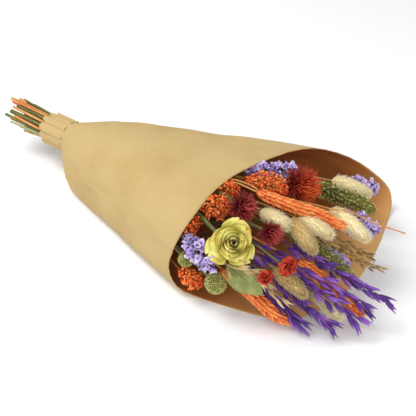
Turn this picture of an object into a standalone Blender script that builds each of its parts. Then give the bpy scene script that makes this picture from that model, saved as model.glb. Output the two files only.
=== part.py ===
"""Dried flower bouquet in a kraft paper sleeve, lying on a table.

The bunch lies along X, cut stem ends at -X and flower heads at +X, with the
flat underside of the sleeve on the plane z = 0.  Lengths below are in
millimetres, and x is counted from the front of the tied neck.  Where the
meshes are made they are turned into metres, and x is counted from the origin,
which is on the flat underside near the middle of the sleeve.
"""
import math

import bmesh
import bpy
import numpy as np
from mathutils import Vector

MM = 0.001
ORIGIN_X = 160.0            # the origin, counted from the neck (mm)

# ---- driving dimensions (mm) -------------------------------------------------
PAPER = 0.8                 # thickness of the kraft paper, with its inner lining
GAP = 0.8                   # air between neighbouring stems and heads
SETTLE_STEPS, SMOOTH_STEPS = 260, 170
RING_BEND = 0.2             # a ring is spared where the stem bends less than this
WALL_GAP = 0.9              # air between the stems and the sleeve
NECK_Z = 40.0               # height of the bundle's axis above the table
TIE_X = -28.0               # where the bundle is tied
BUNDLE_R = 14.2             # radius of the bundle at the tie
TIE_WIDTH, TIE_DEPTH = 9.0, 2.0
CUFF_X = (-45.0, -16.0)     # the paper cuff wrapped round the tied stems
CUFF_R = 18.3
NECK_X = -14.0              # where the sleeve closes round the stems
SPLAY, SPLAY_LENGTH = 1.55, 70.0    # spread of the cut ends, this far behind the tie

# Sleeve sections: x, half width toward -Y, half width toward +Y, underside, top.
SECTIONS = (
    (-14.0, 18.0, 18.0, 22.0, 58.0),
    (-6.0, 21.0, 21.5, 18.0, 60.5),
    (4.0, 31.0, 33.0, 9.0, 63.0),
    (16.0, 40.0, 46.0, 2.0, 66.0),
    (32.0, 46.0, 56.0, 0.0, 71.0),
    (100.0, 64.0, 83.0, 0.0, 83.0),
    (200.0, 91.0, 122.0, 0.0, 96.0),
    (310.0, 120.0, 166.0, 0.0, 104.0),
    (370.0, 134.0, 186.0, 0.0, 107.0),
)

# Once round the sleeve, from the near lower corner over the top to the far
# side and back along the table: share of the half width, share of the height,
# and the x at which the mouth is cut there.
OUTLINE = (
    (-0.80, 0.00, 262.0),
    (-0.98, 0.10, 236.0),
    (-1.00, 0.30, 225.0),
    (-0.93, 0.62, 232.0),
    (-0.72, 0.86, 238.0),
    (-0.40, 0.97, 236.0),
    (0.00, 1.00, 238.0),
    (0.42, 0.95, 249.0),
    (0.74, 0.80, 263.0),
    (0.93, 0.55, 286.0),
    (1.00, 0.28, 308.0),
    (0.97, 0.09, 319.0),
    (0.80, 0.00, 330.0),
    (0.40, 0.00, 352.0),
    (0.00, 0.00, 361.0),
    (-0.40, 0.00, 346.0),
    (-0.60, 0.00, 312.0),
)
FIRST_FLAT = 12             # outline points from here to the start lie on the table
ROUND_STEPS, FLAT_STEPS = 3, 2      # mesh points per outline span
SLEEVE_ROWS = (0, .02, .05, .08, .12, .17, .24, .32, .40, .48, .56, .64, .72, .80,
               .87, .94, 1)

# At the tie a stem sits on the side its head leans to: the mean rise of the
# heads, and how far a slope of one moves a stem across and up.
MEAN_RISE, TIE_SHARE = 6.0, (38.0, 60.0)

# Shapes of the flower heads along their length.
BALL, SPIKE, CLUSTER, BLADE = "ball", "spike", "cluster", "blade"

# Every cut stem: name, head shape, stem radius, head radius,
# head start (x, y, z), head tip (x, y, z), cut end x.
STEMS = (
    ("rose", BALL, 2.4, 21, (270, -76, 77), (310, -82, 82), -98),
    ("rose_leaf", BLADE, 0.8, 9, (290, -84, 52), (330, -84, 50), 250),
    ("statice_a", CLUSTER, 1.6, 13, (230, -80, 62), (280, -97, 58), -104),
    ("statice_b", CLUSTER, 1.3, 9, (220, 19, 87), (250, 24, 95), -92),
    ("statice_c", CLUSTER, 1.3, 9, (240, 38, 83), (270, 42, 90), -86),
    ("statice_d", CLUSTER, 1.7, 14, (310, 46, 56), (360, 52, 52), -90),
    ("statice_e", CLUSTER, 1.3, 10, (280, 104, 47), (320, 120, 50), -84),
    ("statice_f", CLUSTER, 1.3, 9, (320, 10, 38), (360, 6, 35), -80),
    ("buds_a", CLUSTER, 1.2, 10, (210, -22, 89), (250, -26, 97), -108),
    ("buds_b", CLUSTER, 1.6, 11, (220, -50, 86), (260, -52, 92), -96),
    ("buds_c", CLUSTER, 1.4, 10, (200, -76, 74), (240, -86, 80), -88),
    ("buds_d", CLUSTER, 1.4, 11, (240, 2, 88), (290, 4, 95), -102),
    ("buds_e", CLUSTER, 1.1, 8, (230, -88, 24), (260, -92, 22), -78),
    ("crimson_a", BALL, 2.0, 13, (260, -46, 90), (290, -50, 102), -94),
    ("crimson_b", BALL, 2.3, 19, (270, 22, 86), (310, 26, 92), -106),
    ("crimson_c", BALL, 1.8, 11, (300, -48, 82), (320, -52, 86), -82),
    ("bunny_tail_a", SPIKE, 0.8, 8, (300, 84, 68), (330, 92, 62), -76),
    ("bunny_tail_b", SPIKE, 0.8, 9, (320, -24, 84), (350, -36, 74), -90),
    ("bunny_tail_c", SPIKE, 0.8, 9, (330, 34, 70), (370, 26, 62), -74),
    ("bunny_tail_d", SPIKE, 0.8, 8, (290, -26, 82), (320, -33, 86), -86),
    ("bunny_tail_e", SPIKE, 0.8, 7, (320, -4, 80), (350, -8, 76), -70),
    ("bunny_tail_f", SPIKE, 0.7, 7, (330, -56, 52), (360, -62, 44), -72),
    ("bunny_tail_g", SPIKE, 0.7, 6, (360, -40, 33), (390, -42, 26), -68),
    ("wheat_a", SPIKE, 1.0, 7, (290, -86, 46), (350, -64, 10), -100),
    ("wheat_b", SPIKE, 1.0, 6, (280, -20, 97), (350, 14, 74), -94),
    ("wheat_c", SPIKE, 1.0, 6.5, (340, -34, 52), (400, -20, 15), -84),
    ("oat_a", SPIKE, 1.0, 6, (300, -58, 64), (420, -18, 22), -92),
    ("oat_b", SPIKE, 1.0, 6, (310, -44, 58), (420, -36, 14), -100),
    ("oat_c", SPIKE, 1.0, 6, (300, -62, 48), (400, -52, 12), -88),
    ("oat_d", SPIKE, 1.0, 6, (300, -70, 34), (370, -66, 9), -80),
    ("oat_e", SPIKE, 1.0, 6, (320, -28, 62), (430, -4, 28), -76),
    ("green_spike_a", SPIKE, 1.5, 9, (300, 48, 78), (350, 72, 60), -98),
    ("green_spike_b", SPIKE, 1.5, 9, (320, -14, 62), (380, -8, 38), -90),
    ("green_ball_a", BALL, 1.4, 12.5, (270, -90, 36), (290, -94, 34), -84),
    ("green_ball_b", BALL, 1.3, 10, (230, -86, 42), (250, -92, 41), -96),
    ("red_rose_a", BALL, 1.4, 11, (330, -62, 66), (350, -62, 67), -104),
    ("red_rose_b", BALL, 1.2, 9, (320, -80, 60), (340, -84, 58), -78),
    ("oat_husk", SPIKE, 0.8, 5, (300, -92, 62), (350, -70, 32), -74),
    ("brown_grass_a", SPIKE, 0.7, 5, (330, 2, 56), (390, 48, 16), -70),
    ("brown_grass_b", SPIKE, 0.7, 4.5, (320, 22, 50), (380, 36, 32), -66),
    ("orange_strand", SPIKE, 0.9, 1.6, (260, -14, 98), (390, 62, 58), -110),
    ("reed_a", SPIKE, 2.4, 2.4, (220, 8, 76), (270, 14, 80), -112),
    ("reed_b", SPIKE, 2.0, 2.0, (200, 40, 70), (250, 62, 74), -106),
)

# Planes across the bunch at which every stem has a ring.
STATIONS = np.array([-120, -90, -60, -42, -28, -12, 10, 45, 85, 125, 160, 190]
                    + list(range(200, 441, 10)), dtype=float)

# Colours (linear RGB), roughness.
COLOURS = {
    "kraft": ((0.62, 0.44, 0.22), 0.85), "twine": ((0.42, 0.30, 0.16), 0.9),
    "rose": ((0.60, 0.60, 0.20), 0.75), "leaf": ((0.13, 0.15, 0.05), 0.7),
    "statice": ((0.33, 0.26, 0.62), 0.85), "buds": ((0.75, 0.14, 0.03), 0.8),
    "crimson": ((0.35, 0.02, 0.02), 0.8), "bunny": ((0.78, 0.66, 0.44), 0.95),
    "wheat": ((0.70, 0.22, 0.07), 0.75), "oat": ((0.10, 0.02, 0.30), 0.7),
    "green_spike": ((0.26, 0.26, 0.08), 0.85), "green_ball": ((0.36, 0.38, 0.13), 0.9),
    "red": ((0.42, 0.02, 0.02), 0.8), "husk": ((0.55, 0.42, 0.22), 0.7),
    "brown": ((0.34, 0.24, 0.10), 0.8), "orange": ((0.72, 0.28, 0.08), 0.7),
    "reed": ((0.10, 0.14, 0.04), 0.7),
}
FINISH_OF = (
    ("rose_leaf", "leaf"), ("rose", "rose"), ("statice", "statice"), ("buds", "buds"),
    ("crimson", "crimson"), ("bunny", "bunny"), ("wheat", "wheat"), ("oat_husk", "husk"),
    ("oat", "oat"), ("green_spike", "green_spike"), ("green_ball", "green_ball"),
    ("red_rose", "red"), ("brown", "brown"), ("orange", "orange"), ("reed", "reed"),
    ("kraft", "kraft"), ("paper", "kraft"), ("tie", "twine"),
)


def material(key):
    """A Principled material, made once per finish."""
    name = "finish_" + key
    mat = bpy.data.materials.get(name)
    if mat is None:
        (r, g, b), rough = COLOURS[key]
        mat = bpy.data.materials.new(name)
        mat.use_nodes = True
        shader = mat.node_tree.nodes["Principled BSDF"]
        shader.inputs["Base Color"].default_value = (r, g, b, 1.0)
        shader.inputs["Roughness"].default_value = rough
        shader.inputs["Metallic"].default_value = 0.0
    return mat


def finish_for(name):
    return next(key for start, key in FINISH_OF if name.startswith(start))


def add_object(name, bm, smooth_angle=50.0):
    """Turn a bmesh in millimetres into a shaded object in metres."""
    bmesh.ops.translate(bm, vec=(-ORIGIN_X, 0.0, 0.0), verts=bm.verts)
    bmesh.ops.scale(bm, vec=(MM, MM, MM), verts=bm.verts)
    bmesh.ops.recalc_face_normals(bm, faces=bm.faces)
    mesh = bpy.data.meshes.new(name)
    bm.to_mesh(mesh)
    bm.free()
    mesh.shade_smooth()
    mesh.set_sharp_from_angle(angle=math.radians(smooth_angle))
    mesh.materials.append(material(finish_for(name)))
    obj = bpy.data.objects.new(name, mesh)
    bpy.context.collection.objects.link(obj)
    return obj


def loft(bm, rings, closed_ends=True):
    """Skin a list of equal rings of points, with flat caps on the ends."""
    rows = [[bm.verts.new(p) for p in ring] for ring in rings]
    count = len(rows[0])
    for low, high in zip(rows, rows[1:]):
        for i in range(count):
            j = (i + 1) % count
            bm.faces.new((low[i], low[j], high[j], high[i]))
    if closed_ends:
        bm.faces.new(rows[0])
        bm.faces.new(rows[-1])
    return rows


# ---- the paper ---------------------------------------------------------------
def section_at(x):
    """Half widths, underside and top of the sleeve at x."""
    table = np.array(SECTIONS)
    return [float(np.interp(x, table[:, 0], table[:, k])) for k in range(1, 5)]


def outline_point(k):
    side, lift, mouth = OUTLINE[k % len(OUTLINE)]
    return np.array((side, lift, mouth))


def outline_loop():
    """Once round the outline: share of width, share of height, mouth x."""
    points = []
    for k in range(len(OUTLINE)):
        p0, p1, p2, p3 = (outline_point(k + d) for d in (-1, 0, 1, 2))
        flat = k >= FIRST_FLAT
        steps = FLAT_STEPS if flat else ROUND_STEPS
        for step in range(steps):
            t = step / steps
            curve = 0.5 * (2 * p1 + (p2 - p0) * t + (2 * p0 - 5 * p1 + 4 * p2 - p3) * t ** 2
                           + (3 * p1 - p0 - 3 * p2 + p3) * t ** 3)
            if flat:
                curve[1] = 0.0
            curve[1] = max(curve[1], 0.0)
            points.append(curve)
    return points


def sleeve_point(x, side, lift):
    """A point of the sleeve's outer face."""
    near, far, low, top = section_at(x)
    round_mix = min(max((30.0 - x) / 40.0, 0.0), 1.0)     # round at the neck
    y = side * (near if side < 0 else far)
    z = low + lift * (top - low)
    angle = math.atan2(lift - 0.46, side * 0.8)
    ry = (near if side < 0 else far) * math.cos(angle)
    rz = 0.5 * (low + top) + 0.5 * (top - low) * math.sin(angle)
    return Vector((x, y + (ry - y) * round_mix, z + (rz - z) * round_mix))


def build_sleeve():
    """Paper sleeve: flat underneath, arched on top, with a slanting mouth."""
    loop = outline_loop()
    rings = []
    for share in SLEEVE_ROWS:
        rings.append([sleeve_point(NECK_X + share * (mouth - NECK_X), side, lift)
                      for side, lift, mouth in loop])
    bm = bmesh.new()
    loft(bm, rings, closed_ends=False)
    sleeve = add_object("kraft_sleeve", bm)
    wall = sleeve.modifiers.new("paper_thickness", "SOLIDIFY")
    wall.thickness = PAPER * MM
    wall.offset = -1.0
    wall.use_even_offset = True
    return sleeve


def build_cuff():
    """Pleated strip of the same paper, wrapped round the tied stems."""
    bm = bmesh.new()
    rings = []
    rows, sides = 5, 48
    for row in range(rows):
        share = row / (rows - 1)
        x = CUFF_X[0] + share * (CUFF_X[1] - CUFF_X[0])
        flare = 0.9 * (2 * share - 1) ** 2
        ring = []
        for k in range(sides):
            angle = 2 * math.pi * k / sides
            pleat = 0.45 * math.sin(8 * angle + 1.2 * share) + 0.25 * math.sin(5 * angle)
            radius = CUFF_R + flare + pleat
            ring.append((x + 2.0 * math.sin(angle + 0.6), radius * math.cos(angle),
                         NECK_Z + radius * math.sin(angle)))
        rings.append(ring)
    loft(bm, rings, closed_ends=False)
    cuff = add_object("paper_cuff", bm)
    wall = cuff.modifiers.new("paper_thickness", "SOLIDIFY")
    wall.thickness = PAPER * MM
    wall.offset = 0.0
    return cuff


def build_tie():
    """Band of twine wound round the bundle, under the cuff."""
    bm = bmesh.new()
    sides = 32
    inner = BUNDLE_R + 0.4
    profile = []
    for k in range(8):
        angle = 2 * math.pi * k / 8
        profile.append((0.5 * TIE_WIDTH * math.cos(angle),
                        inner + 0.5 * TIE_DEPTH * (1 + math.sin(angle))))
    rings = []
    for k in range(sides):
        angle = 2 * math.pi * k / sides
        rings.append([(TIE_X + dx, r * math.cos(angle), NECK_Z + r * math.sin(angle))
                      for dx, r in profile])
    rows = loft(bm, rings, closed_ends=False)
    for i in range(8):
        j = (i + 1) % 8
        bm.faces.new((rows[-1][i], rows[-1][j], rows[0][j], rows[0][i]))
    return add_object("tie", bm)


# ---- the stems and flowers ---------------------------------------------------
def head_radius(shape, share, radius, stem):
    """Radius of a head at a share of its length from its base."""
    if shape == BALL:
        swell = math.sqrt(max(1.0 - (2 * share - 1) ** 2, 0.12 if share > 0.5 else 0.0))
    elif shape == CLUSTER:
        swell = min(share / 0.4, 1.0) ** 0.7 * (1.0 if share < 0.85 else 0.55)
    elif shape == BLADE:
        swell = math.sin(math.pi * min(max(share, 0.02), 0.98)) ** 0.8
    else:
        swell = math.sin(math.pi * min(0.12 + 0.80 * share, 1.0)) ** 0.7
    return max(stem if share < 1.0 else 0.4 * stem, radius * swell)


class Bunch:
    """Centre lines of all the stems, pushed apart until none touch."""

    def __init__(self):
        count, planes = len(STEMS), len(STATIONS)
        self.path = np.zeros((count, planes, 2))
        self.radius = np.zeros((count, planes))
        self.present = np.zeros((count, planes), bool)
        self.head = np.zeros((count, planes), bool)
        self.outline = outline_loop()
        for i, (_, shape, stem, size, start, tip, cut) in enumerate(STEMS):
            reach = start[0] - TIE_X
            slope = np.array((start[1], start[2] - NECK_Z - MEAN_RISE)) / reach
            tied = np.array((0.0, NECK_Z)) + slope * np.array(TIE_SHARE)
            for k, x in enumerate(STATIONS):
                following = STATIONS[min(k + 1, planes - 1)]
                self.present[i, k] = following > cut and x <= tip[0]
                if x >= start[0]:
                    share = (x - start[0]) / (tip[0] - start[0])
                    point = [start[c] + share * (tip[c] - start[c]) for c in (1, 2)]
                    self.radius[i, k] = head_radius(shape, min(share, 1.0), size, stem)
                    self.head[i, k] = True
                elif x >= TIE_X:
                    share = (x - TIE_X) / reach
                    point = tied + share * (np.array(start[1:]) - tied)
                    self.radius[i, k] = stem
                else:
                    spread = 1.0 + (SPLAY - 1.0) * (TIE_X - x) / SPLAY_LENGTH
                    point = np.array((0, NECK_Z)) + spread * (tied - (0, NECK_Z))
                    self.radius[i, k] = stem
                self.path[i, k] = point
        self.goal = self.path.copy()

    def push(self, share):
        """Push overlapping pairs apart, at a share of each span."""
        for k in range(len(STATIONS) - 1):
            here = self.present[:, k] & self.present[:, k + 1]
            if share == 0.0:
                here = self.present[:, k]
            idx = np.nonzero(here)[0]
            a, b = 1.0 - share, share
            at = a * self.path[idx, k] + b * self.path[idx, k + 1]
            rad = a * self.radius[idx, k] + b * self.radius[idx, k + 1]
            diff = at[:, None] - at[None]
            dist = np.linalg.norm(diff, axis=2) + np.eye(len(idx)) * 1e6
            need = rad[:, None] + rad[None] + GAP
            over = np.clip(need - dist, 0.0, None)
            weight = rad[None] ** 1.5 / (rad[:, None] ** 1.5 + rad[None] ** 1.5)
            dist = np.maximum(dist, 1e-6)
            move = (diff / dist[..., None] * (over * weight)[..., None]).sum(axis=1)
            norm = a * a + b * b
            self.path[idx, k] += move * a / norm
            self.path[idx, k + 1] += move * b / norm

    def keep_in(self):
        """Hold the stems inside the tie, the sleeve and above the table."""
        axis = np.array((0.0, NECK_Z))
        for k, x in enumerate(STATIONS):
            if CUFF_X[0] <= x <= 0.0:
                off = self.path[:, k] - axis
                length = np.linalg.norm(off, axis=1)
                limit = BUNDLE_R - self.radius[:, k]
                out = length > limit
                self.path[out, k] = axis + off[out] * (limit / np.maximum(length, 1e-6))[out, None]
            if x >= NECK_X:
                self.path[:, k] = self.inside_paper(self.path[:, k], self.radius[:, k], x)
            floor = PAPER + 2.0 + self.radius[:, k]
            self.path[:, k, 1] = np.maximum(self.path[:, k, 1], floor)

    def inside_paper(self, points, radius, x):
        """Move the points of one plane clear of every wall of the sleeve there."""
        ring = np.array([sleeve_point(x, side, lift)[1:] for side, lift, _ in self.outline])
        for k in range(len(ring)):
            along = ring[(k + 1) % len(ring)] - ring[k]
            if max(self.outline[k][2], self.outline[(k + 1) % len(ring)][2]) < x - 12.0:
                continue
            inward = np.array((along[1], -along[0])) / np.linalg.norm(along)
            room = (points - ring[k]) @ inward - radius - PAPER - WALL_GAP
            points = points - np.minimum(room, 0.0)[:, None] * inward
        return points

    def settle(self):
        gaps = np.diff(STATIONS)
        for step in range(SETTLE_STEPS):
            for share in (0.0, 0.5, 0.25, 0.75):
                self.push(share)
            if step < SMOOTH_STEPS:
                w = gaps[1:] / (gaps[:-1] + gaps[1:])
                mid = (self.path[:, :-2] * w[None, :, None]
                       + self.path[:, 2:] * (1 - w)[None, :, None])
                ease = np.where(self.head[:, 1:-1], 0.10, 0.30)[..., None]
                self.path[:, 1:-1] += ease * (mid - self.path[:, 1:-1])
                pull = np.where(self.head, 0.20, 0.0)[..., None]
                self.path += pull * (self.goal - self.path)
            self.keep_in()

    def worst_gap(self):
        """Smallest air gap between any two stems, sampled along every span."""
        worst = 1e9
        for k in range(len(STATIONS) - 1):
            idx = np.nonzero(self.present[:, k] & self.present[:, k + 1])[0]
            if len(idx) < 2:
                continue
            for share in np.linspace(0.0, 1.0, 11):
                at = (1 - share) * self.path[idx, k] + share * self.path[idx, k + 1]
                rad = (1 - share) * self.radius[idx, k] + share * self.radius[idx, k + 1]
                dist = np.linalg.norm(at[:, None] - at[None], axis=2) + np.eye(len(idx)) * 1e6
                worst = min(worst, float((dist - rad[:, None] - rad[None]).min()))
        return worst

    def spare_rings(self, i, start, end):
        """Rings of one stem from start to end, without the ones it can spare."""
        planes = [start] + [float(x) for x in STATIONS if start < x <= end]
        rings = [np.array((x,) + tuple(float(np.interp(x, STATIONS, row)) for row in
                                       (self.path[i, :, 0], self.path[i, :, 1], self.radius[i])))
                 for x in planes]
        kept = [rings[0]]
        while kept[-1] is not rings[-1]:
            first = next(k for k, ring in enumerate(rings) if ring is kept[-1])
            last = first + 1
            for far in range(first + 2, len(rings)):
                between = rings[first + 1:far]
                shares = [(ring[0] - rings[first][0]) / (rings[far][0] - rings[first][0])
                          for ring in between]
                bends = [np.abs(rings[first] + share * (rings[far] - rings[first]) - ring).max()
                         for share, ring in zip(shares, between)]
                if max(bends) > RING_BEND:
                    break
                last = far
            kept.append(rings[last])
        return kept

    def build(self, i):
        """One cut flower: its stem and its head as one closed body."""
        name, shape, stem, size, start, tip, cut = STEMS[i]
        sides = 10 if size > 12 else 8 if size > 7.5 else 6
        rings = []
        for x, y, z, radius in self.spare_rings(i, float(cut), float(tip[0])):
            flat = 0.22 if shape == BLADE and x >= start[0] else 1.0
            ring = []
            for k in range(sides):
                angle = 2 * math.pi * (k + 0.5) / sides
                ring.append((x, y + radius * math.cos(angle),
                             z + radius * flat * math.sin(angle)))
            rings.append(ring)
        bm = bmesh.new()
        loft(bm, rings)
        return add_object(name, bm)


def main():
    for obj in list(bpy.data.objects):
        bpy.data.objects.remove(obj, do_unlink=True)
    build_sleeve()
    build_cuff()
    build_tie()
    bunch = Bunch()
    bunch.settle()
    print("smallest gap between stems: %.3f mm" % bunch.worst_gap())
    for i in range(len(STEMS)):
        bunch.build(i)


main()
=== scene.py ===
"""Looks of a dried flower bouquet in a kraft paper sleeve, lying on a table.

Every cut flower, the sleeve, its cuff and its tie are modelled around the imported
solids: a stalk is read from its solid's rings, and its head grows on that stalk.
Lengths are in metres, +X runs from the cut stems to the heads and +Z is up.
"""

from __future__ import annotations

import logging
import math
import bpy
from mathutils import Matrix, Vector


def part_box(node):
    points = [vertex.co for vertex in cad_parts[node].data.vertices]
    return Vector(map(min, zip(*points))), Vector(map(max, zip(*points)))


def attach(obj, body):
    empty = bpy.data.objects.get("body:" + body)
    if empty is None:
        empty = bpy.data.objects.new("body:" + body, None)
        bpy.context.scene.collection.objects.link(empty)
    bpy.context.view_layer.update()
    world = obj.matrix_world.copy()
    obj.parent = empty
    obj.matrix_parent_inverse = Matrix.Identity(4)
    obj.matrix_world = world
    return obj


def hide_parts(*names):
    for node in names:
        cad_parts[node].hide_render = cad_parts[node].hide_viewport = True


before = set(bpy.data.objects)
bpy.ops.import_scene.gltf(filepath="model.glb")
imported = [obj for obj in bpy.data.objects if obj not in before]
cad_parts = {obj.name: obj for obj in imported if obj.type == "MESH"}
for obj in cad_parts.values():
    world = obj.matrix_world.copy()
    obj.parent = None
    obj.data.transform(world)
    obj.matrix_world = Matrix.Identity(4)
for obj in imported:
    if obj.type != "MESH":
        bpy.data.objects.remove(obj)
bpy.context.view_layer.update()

import zlib
from collections.abc import Callable, Iterator
from contextlib import contextmanager
from dataclasses import dataclass, field

import bmesh
import bpy
import numpy as np
from mathutils import Vector
from mathutils.bvhtree import BVHTree

log = logging.getLogger("bouquet")

MM = 0.001
ROOT = "root"
MERGE = 0.01 * MM
PETAL = 0.3 * MM
GOLDEN = math.pi * (3.0 - math.sqrt(5.0))
UP = np.array((0.0, 0.0, 1.0))
Array = np.ndarray
Colour = tuple[int, int, int]
Object = bpy.types.Object


# ---- small maths -------------------------------------------------------------
def unit(vectors: Array) -> Array:
    """Scale each vector to length one.

    Args:
        vectors: Vectors in the last axis.

    Returns:
        Vectors of the same shape and of length one.
    """
    return vectors / np.maximum(np.linalg.norm(vectors, axis=-1, keepdims=True), 1e-12)


def linear(colour: Colour) -> tuple[float, float, float, float]:
    """Turn a display colour (0 to 255) into linear RGBA.

    Args:
        colour: Red, green and blue, 0 to 255.

    Returns:
        The same colour as linear numbers, with alpha 1.
    """
    parts = [c / 255.0 for c in colour]
    return (*[p / 12.92 if p <= 0.04045 else ((p + 0.055) / 1.055) ** 2.4 for p in parts], 1.0)


def dice(name: str) -> np.random.Generator:
    """Random numbers that belong to one piece and never change.

    Args:
        name: The piece's name.

    Returns:
        A seeded generator.
    """
    return np.random.default_rng(zlib.crc32(name.encode()))


# ---- the modelling bench -----------------------------------------------------
class Bench:
    """Modelling by hand: clean selection, edit mode, and finished objects."""

    @staticmethod
    def clear() -> None:
        """Leave edit mode and deselect everything."""
        if bpy.context.object is not None and bpy.context.object.mode != "OBJECT":
            bpy.ops.object.mode_set(mode="OBJECT")
        bpy.ops.object.select_all(action="DESELECT")

    @staticmethod
    def hold(obj: Object) -> Object:
        """Make one object the only selected and the active one.

        Args:
            obj: The object to work on.

        Returns:
            The same object.
        """
        Bench.clear()
        obj.select_set(True)
        bpy.context.view_layer.objects.active = obj
        return obj

    @staticmethod
    @contextmanager
    def edit(obj: Object) -> Iterator[bmesh.types.BMesh]:
        """Work on a mesh in edit mode.

        Args:
            obj: The mesh object.

        Yields:
            The mesh being edited.
        """
        Bench.hold(obj)
        bpy.ops.object.mode_set(mode="EDIT")
        yield bmesh.from_edit_mesh(obj.data)
        bpy.ops.object.mode_set(mode="OBJECT")

    @staticmethod
    def pick(obj: Object, bm: bmesh.types.BMesh, test: Callable[[Vector], bool]) -> None:
        """Select the points that pass a test on their place.

        Args:
            obj: The object in edit mode.
            bm: Its mesh.
            test: Says whether a point is wanted.
        """
        bpy.ops.mesh.select_all(action="DESELECT")
        bpy.ops.mesh.select_mode(type="VERT")
        for vert in bm.verts:
            vert.select = test(vert.co)
        bm.select_flush(True)
        bmesh.update_edit_mesh(obj.data)

    @staticmethod
    def modify(obj: Object, kind: str, **settings: object) -> None:
        """Add a modifier with its settings and apply it.

        Args:
            obj: The object to change.
            kind: The modifier's type.
            settings: Values of its properties.
        """
        Bench.hold(obj)
        modifier = obj.modifiers.new(kind.lower(), kind)
        for key, value in settings.items():
            setattr(modifier, key, value)
        bpy.ops.object.modifier_apply(modifier=modifier.name)

    @staticmethod
    def join(name: str, parts: list[Object]) -> Object:
        """Join finished parts into one piece.

        Args:
            name: The piece's name.
            parts: The parts, the main one first.

        Returns:
            The joined piece.
        """
        Bench.hold(parts[0])
        for part in parts[1:]:
            part.select_set(True)
        bpy.ops.object.join()
        piece = bpy.context.view_layer.objects.active
        piece.name = piece.data.name = name
        return piece


# ---- forms that are copied many times ----------------------------------------
@dataclass(frozen=True)
class Form:
    """A small modelled shape, one unit long from its foot to its tip along Z."""

    points: Array
    sizes: Array
    corners: Array
    along: Array
    across: Array

    @staticmethod
    def take(obj: Object) -> Form:
        """Read a modelled object as a form and clear it off the bench.

        Args:
            obj: The modelled object, which is removed.

        Returns:
            Its form.
        """
        Bench.clear()
        mesh = obj.data
        points = np.array([v.co[:] for v in mesh.vertices])
        sizes = np.array([len(p.vertices) for p in mesh.polygons])
        corners = np.array([i for p in mesh.polygons for i in p.vertices])
        along = np.clip(points[:, 2], 0.0, 1.0)
        across = np.arctan2(points[:, 1], points[:, 0]) / math.tau + 0.5
        bpy.data.objects.remove(obj, do_unlink=True)
        bpy.data.meshes.remove(mesh)
        return Form(points, sizes, corners, along, across)


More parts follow.
